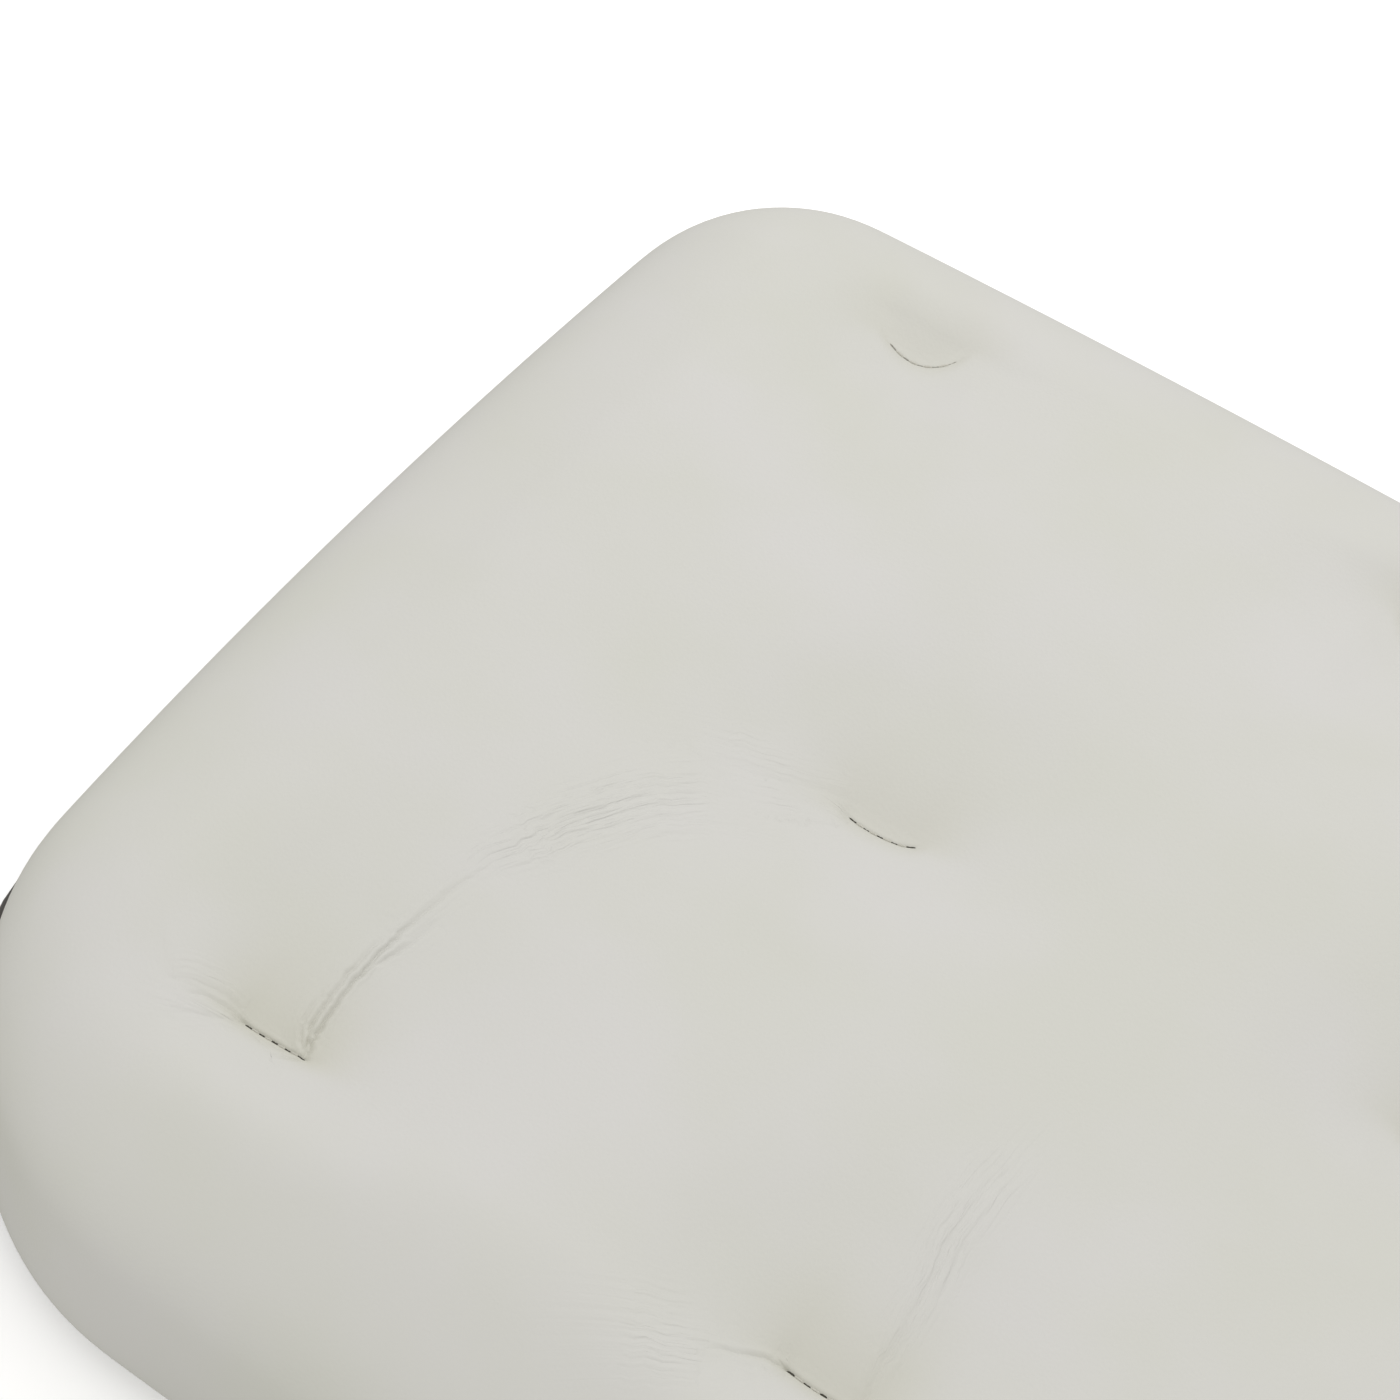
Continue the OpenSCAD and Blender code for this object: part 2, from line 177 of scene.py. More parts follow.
@dataclass(frozen=True)
class FullGrainLeather:
    """Aniline-dyed full-grain cowhide, drum-milled soft: an even off-white with fine pebbling.

    The eye gets a broad soft highlight, pores under a millimetre across, slow patches of warmer
    tone, and hair-fine wrinkles that run towards each tuft. Real pores are about 0.1 mm and are
    drawn coarser, so that they show. The pockets behind the seams are painted with shade, a
    darker and warmer tone.
    """

    pale: str = "#d2d1cd"
    warm: str = "#cfcfc7"
    # Painted shade: the darker, warmer colour of the pockets behind the seams.
    pocket_shade_tint: str = "#c9c8ba"
    grain_mm: float = 1.1
    pore_mm: float = 0.45
    patch_mm: float = 70.0
    wrinkle_mm: float = 1.5
    wrinkle_length_mm: float = 13.0
    roughness: float = 0.5
    ior: float = 1.45

    def build(self) -> bpy.types.Material:
        """Makes the material.

        Returns:
            The finished material.
        """
        material, tree, point = new_tree("leather_full_grain_off_white")
        patches = add_node(
            tree, "ShaderNodeTexNoise", {"Scale": 1 / self.patch_mm, "Detail": 3.0}, {"Vector": point}
        )
        tone = add_node(
            tree,
            "ShaderNodeValToRGB",
            {"stops": ((0.35, self.warm), (0.65, self.pale))},
            {"Fac": patches.outputs["Fac"]},
        )
        # Painted shade: the tone is mixed towards a darker, warmer colour in the pockets behind the
        # seams.
        pocket_shade = add_node(tree, "ShaderNodeAttribute", {"attribute_name": "pocket_shade"})
        tone_with_shade = add_node(
            tree,
            "ShaderNodeMix",
            {"data_type": "RGBA", 7: linear(self.pocket_shade_tint)},
            {0: pocket_shade.outputs["Fac"], 6: tone.outputs["Color"]},
        )
        grain = add_node(
            tree,
            "ShaderNodeTexVoronoi",
            {"feature": "SMOOTH_F1", "Scale": 1 / self.grain_mm, "Smoothness": 0.6},
            {"Vector": point},
        )
        pores = add_node(
            tree, "ShaderNodeTexNoise", {"Scale": 1 / self.pore_mm, "Detail": 2.0}, {"Vector": point}
        )
        flow = add_node(tree, "ShaderNodeAttribute", {"attribute_name": "flow"})
        stretched = add_node(
            tree,
            "ShaderNodeVectorMath",
            {
                "operation": "MULTIPLY",
                1: (1 / self.wrinkle_length_mm, 1 / self.wrinkle_mm, 1.0),
            },
            {0: flow.outputs["Vector"]},
        )
        wrinkles = add_node(
            tree,
            "ShaderNodeTexNoise",
            {"Scale": 1.0, "Detail": 2.0, "Roughness": 0.45, "Distortion": 0.35},
            {"Vector": stretched.outputs["Vector"]},
        )
        pull = add_node(tree, "ShaderNodeAttribute", {"attribute_name": "pull"})
        masked = add_node(
            tree,
            "ShaderNodeMath",
            {"operation": "MULTIPLY"},
            {0: wrinkles.outputs["Fac"], 1: pull.outputs["Fac"]},
        )
        pore_bump = add_node(
            tree,
            "ShaderNodeBump",
            {"Strength": 0.10, "Distance": 0.1 * MM},
            {"Height": pores.outputs["Fac"]},
        )
        grain_bump = add_node(
            tree,
            "ShaderNodeBump",
            {"Strength": 0.16, "Distance": 0.2 * MM},
            {"Height": grain.outputs["Distance"], "Normal": pore_bump.outputs["Normal"]},
        )
        wrinkle_bump = add_node(
            tree,
            "ShaderNodeBump",
            {"Strength": 1.0, "Distance": 1.1 * MM},
            {"Height": masked.outputs["Value"], "Normal": grain_bump.outputs["Normal"]},
        )
        rough = add_node(
            tree,
            "ShaderNodeMapRange",
            {"To Min": self.roughness - 0.05, "To Max": self.roughness + 0.07},
            {"Value": pores.outputs["Fac"]},
        )
        close_tree(
            tree,
            {"IOR": self.ior, "Specular IOR Level": 0.4},
            {
                "Base Color": tone_with_shade.outputs[2],
                "Roughness": rough.outputs["Result"],
                "Normal": wrinkle_bump.outputs["Normal"],
            },
        )
        return material


@dataclass(frozen=True)
class BondedThread:
    """Bonded polyester sewing thread, twisted: pale, with a faint diagonal lay on each stitch and
    painted shade in the grooves of the twist.
    """

    name: str = "thread_bonded_polyester"
    dark: str = "#b9b7ab"
    pale: str = "#d6d4ca"
    twist_mm: float = 0.5
    roughness: float = 0.65

    def build(self) -> bpy.types.Material:
        """Makes the material.

        Returns:
            The finished material.
        """
        material, tree, point = new_tree(self.name)
        twist = add_node(
            tree,
            "ShaderNodeTexWave",
            {"bands_direction": "DIAGONAL", "Scale": 1 / self.twist_mm, "Distortion": 0.4},
            {"Vector": point},
        )
        bump = add_node(
            tree,
            "ShaderNodeBump",
            {"Strength": 0.4, "Distance": 0.1 * MM},
            {"Height": twist.outputs["Fac"]},
        )
        # Painted shade: the tone is darker where the twist's bump is low, in its grooves.
        tone = add_node(
            tree,
            "ShaderNodeValToRGB",
            {"stops": ((0.35, self.dark), (0.65, self.pale))},
            {"Fac": twist.outputs["Fac"]},
        )
        close_tree(
            tree,
            {"Roughness": self.roughness, "IOR": 1.5, "Sheen Weight": 0.15},
            {
                "Base Color": tone.outputs["Color"],
                "Normal": bump.outputs["Normal"],
            },
        )
        return material


@dataclass(frozen=True)
class NeedleSlitShadow:
    """Painted shadow for a needle hole: a dark, dull, fibrous tone that stands in for the shade inside
    the open slit.
    """

    name: str = "needle_slit_painted_shadow"
    # Painted shadow colours of the slit's inside.
    dark: str = "#2f2d26"
    pale: str = "#56534a"
    fibre_mm: float = 0.3

    def build(self) -> bpy.types.Material:
        """Makes the material.

        Returns:
            The finished material.
        """
        material, tree, point = new_tree(self.name)
        fibre = add_node(tree, "ShaderNodeTexNoise", {"Scale": 1 / self.fibre_mm}, {"Vector": point})
        tone = add_node(
            tree,
            "ShaderNodeValToRGB",
            {"stops": ((0.35, self.dark), (0.65, self.pale))},
            {"Fac": fibre.outputs["Fac"]},
        )
        close_tree(
            tree,
            {"Roughness": 0.9, "Specular IOR Level": 0.2},
            {"Base Color": tone.outputs["Color"]},
        )
        return material


@dataclass(frozen=True)
class MouldedPolypropylene:
    """Injection-moulded polypropylene from a spark-eroded tool: dark brown-grey, finely stippled.

    The stipple breaks the highlight up, so the wall reads as dull plastic and not as paint. Real
    stipple is about 0.1 mm and is drawn coarser, so that it shows.
    """

    dark: str = "#3a3734"
    pale: str = "#403c39"
    stipple_mm: float = 0.5
    flow_mm: float = 45.0
    roughness: float = 0.48

    def build(self) -> bpy.types.Material:
        """Makes the material.

        Returns:
            The finished material.
        """
        material, tree, point = new_tree("polypropylene_moulded_dark")
        flow = add_node(
            tree, "ShaderNodeTexNoise", {"Scale": 1 / self.flow_mm, "Detail": 4.0}, {"Vector": point}
        )
        stipple = add_node(
            tree, "ShaderNodeTexNoise", {"Scale": 1 / self.stipple_mm, "Detail": 1.0}, {"Vector": point}
        )
        bump = add_node(
            tree,
            "ShaderNodeBump",
            {"Strength": 0.25, "Distance": 0.1 * MM},
            {"Height": stipple.outputs["Fac"]},
        )
        tone = add_node(
            tree,
            "ShaderNodeValToRGB",
            {"stops": ((0.35, self.dark), (0.65, self.pale))},
            {"Fac": flow.outputs["Fac"]},
        )
        rough = add_node(
            tree,
            "ShaderNodeMapRange",
            {"To Min": self.roughness - 0.06, "To Max": self.roughness + 0.1},
            {"Value": stipple.outputs["Fac"]},
        )
        close_tree(
            tree,
            {"IOR": 1.49},
            {
                "Base Color": tone.outputs["Color"],
                "Roughness": rough.outputs["Result"],
                "Normal": bump.outputs["Normal"],
            },
        )
        return material


@dataclass(frozen=True)
class PlatedSteel:
    """Pressed steel with a zinc or black coat: bright metal with faint streaks from the press."""

    name: str
    dark: str
    pale: str
    streak_mm: float = 1.2
    roughness: float = 0.36

    def build(self) -> bpy.types.Material:
        """Makes the material.

        Returns:
            The finished material.
        """
        material, tree, point = new_tree(self.name)
        streaks = add_node(
            tree,
            "ShaderNodeTexNoise",
            {"Scale": 1 / self.streak_mm, "Detail": 5.0, "Roughness": 0.6},
            {"Vector": point},
        )
        tone = add_node(
            tree,
            "ShaderNodeValToRGB",
            {"stops": ((0.35, self.dark), (0.65, self.pale))},
            {"Fac": streaks.outputs["Fac"]},
        )
        rough = add_node(
            tree,
            "ShaderNodeMapRange",
            {"To Min": self.roughness - 0.08, "To Max": self.roughness + 0.14},
            {"Value": streaks.outputs["Fac"]},
        )
        close_tree(
            tree,
            {"Metallic": 1.0},
            {"Base Color": tone.outputs["Color"], "Roughness": rough.outputs["Result"]},
        )
        return material


@dataclass(frozen=True)
class BirchPlywood:
    """Rotary-cut birch plywood, sanded: pale grain lines on the face, plies along the edge."""

    dark: str = "#b98f5c"
    pale: str = "#d3ae7b"
    grain_mm: float = 3.5
    ply_mm: float = 1.5

    def build(self) -> bpy.types.Material:
        """Makes the material.

        Returns:
            The finished material.
        """
        material, tree, point = new_tree("plywood_birch_sanded")
        shape = add_node(
            tree,
            "ShaderNodeVectorMath",
            {"operation": "MULTIPLY", 1: (0.06 / self.grain_mm, 1 / self.grain_mm, 1 / self.ply_mm)},
            {0: point},
        )
        grain = add_node(
            tree,
            "ShaderNodeTexNoise",
            {"Scale": 1.0, "Detail": 4.0, "Distortion": 0.6},
            {"Vector": shape.outputs["Vector"]},
        )
        bump = add_node(
            tree,
            "ShaderNodeBump",
            {"Strength": 0.2, "Distance": 0.2 * MM},
            {"Height": grain.outputs["Fac"]},
        )
        tone = add_node(
            tree,
            "ShaderNodeValToRGB",
            {"stops": ((0.35, self.dark), (0.65, self.pale))},
            {"Fac": grain.outputs["Fac"]},
        )
        close_tree(
            tree,
            {"Roughness": 0.62, "IOR": 1.5},
            {
                "Base Color": tone.outputs["Color"],
                "Normal": bump.outputs["Normal"],
            },
        )
        return material


@dataclass(frozen=True)
class CellFilling:
    """Cut foam or garnetted wadding: a matt open surface of small cells or fibres, with painted shade
    in the pits of the cells.

    Foam cells are about 0.4 mm and are drawn twice as coarse, so that they show.
    """

    name: str
    dark: str
    pale: str
    cell_mm: float

    def build(self) -> bpy.types.Material:
        """Makes the material.

        Returns:
            The finished material.
        """
        material, tree, point = new_tree(self.name)
        cells = add_node(tree, "ShaderNodeTexVoronoi", {"Scale": 1 / self.cell_mm}, {"Vector": point})
        bump = add_node(
            tree,
            "ShaderNodeBump",
            {"Strength": 0.6, "Distance": 0.5 * MM},
            {"Height": cells.outputs["Distance"]},
        )
        # Painted shade: the tone is darker where the cells' bump is low, in their pits.
        tone = add_node(
            tree,
            "ShaderNodeValToRGB",
            {"stops": ((0.1, self.dark), (0.6, self.pale))},
            {"Fac": cells.outputs["Distance"]},
        )
        close_tree(
            tree,
            {"Roughness": 0.95, "Specular IOR Level": 0.15, "Sheen Weight": 0.2},
            {
                "Base Color": tone.outputs["Color"],
                "Normal": bump.outputs["Normal"],
            },
        )
        return material


# ---------------------------------------------------------------- mesh helpers


def make_piece(name: str, points: Points, faces: Iterable[Face]) -> bpy.types.Object:
    """Makes a smooth-shaded mesh object in the scene.

    Args:
        name: The piece's name.
        points: Corner points in metres.
        faces: Corner numbers of each face.

    Returns:
        The new object.
    """
    mesh = bpy.data.meshes.new(name)
    mesh.from_pydata([tuple(p) for p in points], [], [tuple(f) for f in faces])
    mesh.validate()
    mesh.polygons.foreach_set("use_smooth", [True] * len(mesh.polygons))
    mesh.update()
    piece = bpy.data.objects.new(name, mesh)
    bpy.context.scene.collection.objects.link(piece)
    return piece


def points_of(piece: bpy.types.Object) -> Points:
    """Reads a mesh's points as an array.

    Args:
        piece: The mesh object.

    Returns:
        One row of x, y and z for each point.
    """
    flat = np.zeros(len(piece.data.vertices) * 3, np.float64)
    piece.data.vertices.foreach_get("co", flat)
    return flat.reshape(-1, 3)


def set_points(piece: bpy.types.Object, points: Points) -> None:
    """Writes an array of points back to a mesh."""
    piece.data.vertices.foreach_set("co", points.astype(np.float32).ravel())
    piece.data.update()


def make_normals_face_out(piece: bpy.types.Object) -> None:
    """Turns every face of a closed mesh outwards.

    Args:
        piece: The mesh object.
    """
    shape = bmesh.new()
    shape.from_mesh(piece.data)
    bmesh.ops.recalc_face_normals(shape, faces=shape.faces)
    shape.to_mesh(piece.data)
    shape.free()


def apply_modifiers(piece: bpy.types.Object) -> None:
    """Replaces a piece's mesh by what its modifiers make of it.

    Args:
        piece: The mesh object, which keeps no modifier.
    """
    graph = bpy.context.evaluated_depsgraph_get()
    made = bpy.data.meshes.new_from_object(piece.evaluated_get(graph), depsgraph=graph)
    piece.modifiers.clear()
    old = piece.data
    piece.data = made
    made.name = piece.name
    bpy.data.meshes.remove(old)


def dress(piece: bpy.types.Object, materials: Sequence[bpy.types.Material]) -> None:
    """Gives a piece its materials, and lets it ride on the body.

    Args:
        piece: The piece, in place.
        materials: One material for each of the mesh's material numbers.
    """
    piece.data.materials.clear()
    for material in materials:
        piece.data.materials.append(material)
    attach(piece, BODY)


def smooth_step(low: float, high: float, value: Points) -> Points:
    """The smooth rise from 0 at low to 1 at high."""
    t = np.clip((value - low) / (high - low), 0, 1)
    return t * t * (3 - 2 * t)


# ---------------------------------------------------------------- plan outline


@dataclass(frozen=True)
class Outline:
    """A plan with straight sides, rounded corners and sides that bow out a little.

    The back corners and the front corners have their own radii. A point of the plan is found from
    its place along the edge and its inset from the edge.
    """

    half_width: float
    half_depth: float
    front_radius: float
    back_radius: float
    side_bow: float = 0.0
    end_bow: float = 0.0

    @staticmethod
    def corner_centre(x: float, y: float, radius: float) -> Points:
        """The middle of a corner's curve, from where its sides would meet."""
        return np.array([x - math.copysign(radius, x), y - math.copysign(radius, y)])

    def edge(self, across: int, along: int, even_at: float) -> tuple[Points, Points]:
        """Points on the outline and their outward directions, anticlockwise from the back right.

        Each of the four runs starts and ends halfway round a corner.

        Args:
            across: Number of steps along the back, and along the front.
            along: Number of steps along each side.
            even_at: The inset at which the steps are of even length.

        Returns:
            Anchor points and outward directions, each an array of x, y pairs.
        """
        w, d = self.half_width, self.half_depth
        corners = (
            (w, d, self.back_radius, 45.0, across),
            (-w, d, self.back_radius, 135.0, along),
            (-w, -d, self.front_radius, 225.0, across),
            (w, -d, self.front_radius, 315.0, along),
        )
        half_turn = math.pi / 4
        anchors: list[Points] = []
        outwards: list[Points] = []
        for i, (x, y, radius, angle, steps) in enumerate(corners):
            next_x, next_y, next_radius, _, _ = corners[(i + 1) % 4]
            start = self.corner_centre(x, y, radius)
            end = self.corner_centre(next_x, next_y, next_radius)
            first = half_turn * max(radius - even_at, 1 * MM)
            last = half_turn * max(next_radius - even_at, 1 * MM)
            facing = math.radians(angle + 45)
            normal = np.array([math.cos(facing), math.sin(facing)])
            onward = np.array([-normal[1], normal[0]])
            straight = abs(float((end - start) @ onward))
            total = first + straight + last
            for step in range(steps):
                s = total * step / steps
                if s < first:
                    turn = math.radians(angle) + half_turn * s / first
                    out = np.array([math.cos(turn), math.sin(turn)])
                    anchors.append(start + radius * out)
                elif s > first + straight:
                    turn = facing + half_turn * (s - first - straight) / last
                    out = np.array([math.cos(turn), math.sin(turn)])
                    anchors.append(end + next_radius * out)
                else:
                    out = normal
                    anchors.append(start + radius * normal + onward * (s - first))
                outwards.append(out)
        return np.array(anchors), np.array(outwards)

    def bowed(self, points: Points) -> Points:
        """Pushes the middles of the four sides outwards.

        Args:
            points: Points whose first two numbers are x and y.

        Returns:
            The same points with the bow added.
        """
        x = points[:, 0] / self.half_width
        y = points[:, 1] / self.half_depth
        moved = points.copy()
        for axis, bow, to_edge, along in ((0, self.side_bow, x, y), (1, self.end_bow, y, x)):
            share = np.clip(abs(to_edge), 0, 1) ** 3
            moved[:, axis] += bow * np.sign(to_edge) * np.clip(1 - along**2, 0, 1) * share
        return moved


@dataclass
class Shell:
    """A skin over a plan: a patch of squares in the middle and rings of squares round it.

    The patch's rim is the first ring. Ring k is at profile[k], an inset and a height.
    """

    outline: Outline
    across: int
    along: int
    profile: list[tuple[float, float]]

    @property
    def around(self) -> int:
        """Number of steps round the edge."""
        return 2 * (self.across + self.along)

    def points(self) -> Points:
        """Makes all points: the patch row by row, then each ring after the first.

        Returns:
            The points, with the outline's bow.
        """
        anchors, outwards = self.outline.edge(self.across, self.along, self.profile[0][0] / 2)
        inset, height = self.profile[0]
        rim = anchors - outwards * inset
        back = rim[: self.across + 1][::-1]
        left = rim[self.across : self.across + self.along + 1][::-1]
        front = rim[self.across + self.along : 2 * self.across + self.along + 1]
        right = np.vstack([rim[2 * self.across + self.along :], rim[:1]])
        u = np.linspace(0, 1, self.across + 1)[None, :, None]
        v = np.linspace(0, 1, self.along + 1)[:, None, None]
        patch = (
            (1 - v) * front[None]
            + v * back[None]
            + (1 - u) * left[:, None]
            + u * right[:, None]
            - (1 - u) * (1 - v) * front[0]
            - u * (1 - v) * front[-1]
            - (1 - u) * v * back[0]
            - u * v * back[-1]
        ).reshape(-1, 2)
        levels = [np.column_stack([patch, np.full(len(patch), height)])]
        for inset, height in self.profile[1:]:
            ring = anchors - outwards * inset
            levels.append(np.column_stack([ring, np.full(len(ring), height)]))
        return self.outline.bowed(np.vstack(levels))

    def rim_numbers(self) -> list[int]:
        """Numbers of the patch's rim points.

        Returns:
            The numbers, in the order of the rings.
        """
        row = self.across + 1
        back = [self.along * row + i for i in range(self.across, 0, -1)]
        left = [j * row for j in range(self.along, 0, -1)]
        front = list(range(self.across))
        right = [j * row + self.across for j in range(self.along)]
        return back + left + front + right

    def ring_numbers(self, ring: int) -> list[int]:
        """Numbers of one ring's points.

        Args:
            ring: The ring, where 0 is the patch's rim.

        Returns:
            The numbers, anticlockwise.
        """
        if ring == 0:
            return self.rim_numbers()
        first = (self.across + 1) * (self.along + 1) + (ring - 1) * self.around
        return list(range(first, first + self.around))

    def patch_faces(self) -> list[Face]:
        """Squares of the patch.

        Returns:
            The faces, facing up.
        """
        row = self.across + 1
        return [
            (j * row + i, j * row + i + 1, (j + 1) * row + i + 1, (j + 1) * row + i)
            for j in range(self.along)
            for i in range(self.across)
        ]

    def ring_faces(self, first: int = 0, last: int | None = None) -> list[Face]:
        """Squares between rings, facing out.

        Args:
            first: The ring that they start at.
            last: The ring that they end at, or None for the last one.

        Returns:
            The faces.
        """
        end = len(self.profile) - 1 if last is None else last
        faces: list[Face] = []
        for ring in range(first, end):
            upper, lower = self.ring_numbers(ring), self.ring_numbers(ring + 1)
            for i in range(self.around):
                j = (i + 1) % self.around
                faces.append((upper[i], lower[i], lower[j], upper[j]))
        return faces


# ---------------------------------------------------------------- tufts and creases


@dataclass(frozen=True)
class Crease:
    """A fold line in the leather, through points in millimetres from its tuft's centre."""

    route: tuple[tuple[float, float], ...]
    depth: float = 0.6
    width: float = 0.9
    spread: float = 4.0
    fine: float = 0.5
    shake: float = 0.22

    def line(self, centre: Points, steps: int = 6) -> Points:
        """The crease as a smooth line in metres.

        Args:
            centre: The tuft's x and y.
            steps: Number of steps between two points of the route.

        Returns:
            Points along the line.
        """
        p = np.array(self.route, float) * MM + centre
        ends = np.vstack([2 * p[0] - p[1], p, 2 * p[-1] - p[-2]])
        made: list[Points] = []
        for i in range(1, len(ends) - 2):
            a, b, c, d = ends[i - 1 : i + 3]
            for t in np.linspace(0, 1, steps, endpoint=False):
                made.append(
                    0.5
                    * (
                        2 * b
                        + (c - a) * t
                        + (2 * a - 5 * b + 4 * c - d) * t**2
                        + (3 * b - a - 3 * c + d) * t**3
                    )
                )
        made.append(p[-1])
        line = np.array(made)
        run = np.gradient(line, axis=0)
        run /= np.linalg.norm(run, axis=1)[:, None]
        chance = np.random.default_rng(len(self.route) * 10 + round(self.width * 10))
        shake = chance.normal(0, 1, len(line))
        aside = np.column_stack([-run[:, 1], run[:, 0]])
        return line + aside * (shake * self.shake * MM)[:, None]

    def section(self, gap: Points) -> Points:
        """Depth across the crease, with a low ridge beside it.

        Args:
            gap: Distance of each point from the crease's line.

        Returns:
            The depth in metres, where a ridge is negative.
        """
        width = self.width * MM
        valley = np.exp(-((gap / width) ** 1.3))
        ridge = 0.35 * np.exp(-(((gap - 2.4 * width) / (1.3 * width)) ** 2))
        return self.depth * MM * (valley - ridge)


@dataclass(frozen=True)
class Tuft:
    """One tuft: where it is, how its seam lies and how hard it pulls.

    The seam is turned about its centre, its middle sags to the front and its right end may hook
    back. Fine wrinkles fan out on the left where fan is -1, on the right where it is 1.
    """

    number: int
    centre: Points
    turn: float
    sag: float
    pull: float
    creases: tuple[Crease, ...] = ()
    half_length: float = 8.6 * MM
    hook: float = 0.0
    fan: int = 0

    def local(self, points: Points) -> tuple[Points, Points]:
        """Places of points along the seam and behind it.

        Args:
            points: Points whose first two numbers are x and y.

        Returns:
            Distance along the seam's chord, and distance behind the seam's curve.
        """
        c, s = math.cos(self.turn), math.sin(self.turn)
        x = points[:, 0] - self.centre[0]
        y = points[:, 1] - self.centre[1]
        along = c * x + s * y
        behind = -s * x + c * y
        return along, behind - self.curve(along)

    def curve(self, along: Points) -> Points:
        """How far the seam's line lies behind its chord: it dips to the front in the middle."""
        t = np.clip(along / self.half_length, -1.5, 1.5)
        return self.sag * (t**2 - 1) + self.hook * np.clip(t - 0.5, 0, 1) ** 2

    def seam_point(self, t: float) -> Points:
        """A point of the seam's line.

        Args:
            t: Place along it, from -1 at its left end to 1.

        Returns:
            The point's x and y.
        """
        along = t * self.half_length
        behind = float(self.curve(np.array([along]))[0])
        c, s = math.cos(self.turn), math.sin(self.turn)
        return self.centre + np.array([c * along - s * behind, s * along + c * behind])


def mirrored(creases: tuple[Crease, ...]) -> tuple[Crease, ...]:
    """The same creases on the other side of their tuft."""
    return tuple(replace(c, route=tuple((-x, y) for x, y in c.route)) for c in creases)


# Creases of a hard-pulled front tuft: a pair of folds straight back from the seam's end, which
# lean towards the next tuft, and short ones off the seam's other end.
FRONT_CORNER_CREASES = (
    Crease(
        (
            (8.4, -0.2), (7.0, 6), (6.4, 13), (6.0, 22), (6.7, 32),
            (7.8, 41), (9.8, 54), (12.6, 64), (16, 74),
        ),
        depth=0.9, width=0.6, spread=5, fine=0.7,
    ),
    Crease(((7.8, 1.2), (5.0, 7), (4.2, 14), (3.9, 22), (4.6, 33), (5.9, 44)), 0.7, 0.55),
    Crease(((6.9, 1.6), (3.4, 6), (2.0, 11), (1.4, 18)), 0.45, 0.5),
    Crease(
        ((7.6, 44), (10.6, 65), (16.2, 78), (22.0, 92), (31.8, 109), (44, 122), (62, 134)),
        depth=0.2, width=1.2, spread=9, fine=1.0,
    ),
    Crease(((6.4, 26), (9.0, 32), (11.2, 39), (13.0, 48)), 0.45, 0.5),
    Crease(((-8.4, 0.2), (-13.5, -0.8), (-18.7, -2.2), (-25.8, -6.4)), 0.32, 0.6, 5, 0.8),
    Crease(((-8.8, -1.0), (-15.6, -6.4), (-22.4, -11.8)), 0.2, 0.6, 4, 0.7),
    Crease(((8.0, -0.8), (5.0, -3.2), (1.2, -5.0)), 0.45, 0.5),
    Crease(((-9.4, 1.4), (-17.0, 1.2), (-24.0, -1.4), (-31.0, -6.6)), 0.16, 0.6, 5, 0.8),
)
FRONT_MIDDLE_CREASES = (
    Crease(
        ((8.6, 1.0), (7.4, 10), (6.6, 22), (5.2, 35), (3.0, 47), (2.4, 60), (2.8, 80)),
        depth=0.35, width=0.8, spread=6, fine=0.7,
    ),
    Crease(((-9.6, 0.4), (-16.6, -2.7), (-23.2, -7.3), (-29.8, -12.0)), 0.5, 0.6, 7, 0.9),
    Crease(((-9.8, -1.0), (-20.8, -5.1), (-33.4, -12.6), (-45.8, -19.9)), 0.08, 1.1, 9, 0.9),
)
MIDDLE_CREASES = (
    Crease(((-10.4, -1.4), (-18.8, -6.4), (-30.8, -14.6), (-44, -25)), 0.05, 1.2, 9, 0.75),
    Crease(((-12.4, 5.4), (-22.8, -0.4), (-34.8, -6.6), (-50, -16)), 0.0, 1.2, 8, 0.55),
)


def tuft_places() -> list[Points]:
    """Finds the tufts from the frame's stitches.

    Returns:
        x and y of each tuft's centre.
    """
    places = []
    for k in range(1, TUFT_COUNT + 1):
        low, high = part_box(f"tuft_stitch_{k}")
        places.append(np.array([(low.x + high.x) / 2, (low.y + high.y) / 2]))
    return places


def make_tufts() -> list[Tuft]:
    """The eight tufts, each with its own pull. They are numbered from the back left.

    Returns:
        The tufts.
    """
    centres = tuft_places()
    # Each row: x and y off the stitch, the turn in degrees, the sag, half the seam's length and its
    # hook, then the pull, the fan and the creases. Lengths are in millimetres.
    looks = (
        (0.8, 0.4, 22, 4.0, 8.7, 0.0, 0.5, 0, ()),
        (0.2, -1.6, -5, 3.4, 8.8, 0.0, 0.52, 0, ()),
        (-0.8, 0.0, -19, 4.2, 8.8, 0.0, 0.5, 0, ()),
        (0.0, -2.2, 6, 0.9, 8.3, 2.0, 0.65, -1, MIDDLE_CREASES),
        (-0.4, -2.0, -4, 1.2, 8.6, 0.0, 0.68, 1, mirrored(MIDDLE_CREASES)),
        (-0.4, 0.6, 2.0, 0.0, 7.8, 0.0, 1.0, -1, FRONT_CORNER_CREASES),
        (-4.6, -1.3, 1, 0.5, 9.6, 0.0, 0.9, -1, FRONT_MIDDLE_CREASES),
        (0.3, 0.4, -2, 0.4, 8.1, 0.0, 0.96, 1, mirrored(FRONT_CORNER_CREASES)),
    )
    tufts = []
    for k, (x, y, turn, sag, half, hook, pull, fan, creases) in enumerate(looks):
        centre = centres[k] + np.array([x, y]) * MM
        angle = math.radians(turn)
        tufts.append(Tuft(k + 1, centre, angle, sag * MM, pull, creases, half * MM, hook * MM, fan))
    return tufts


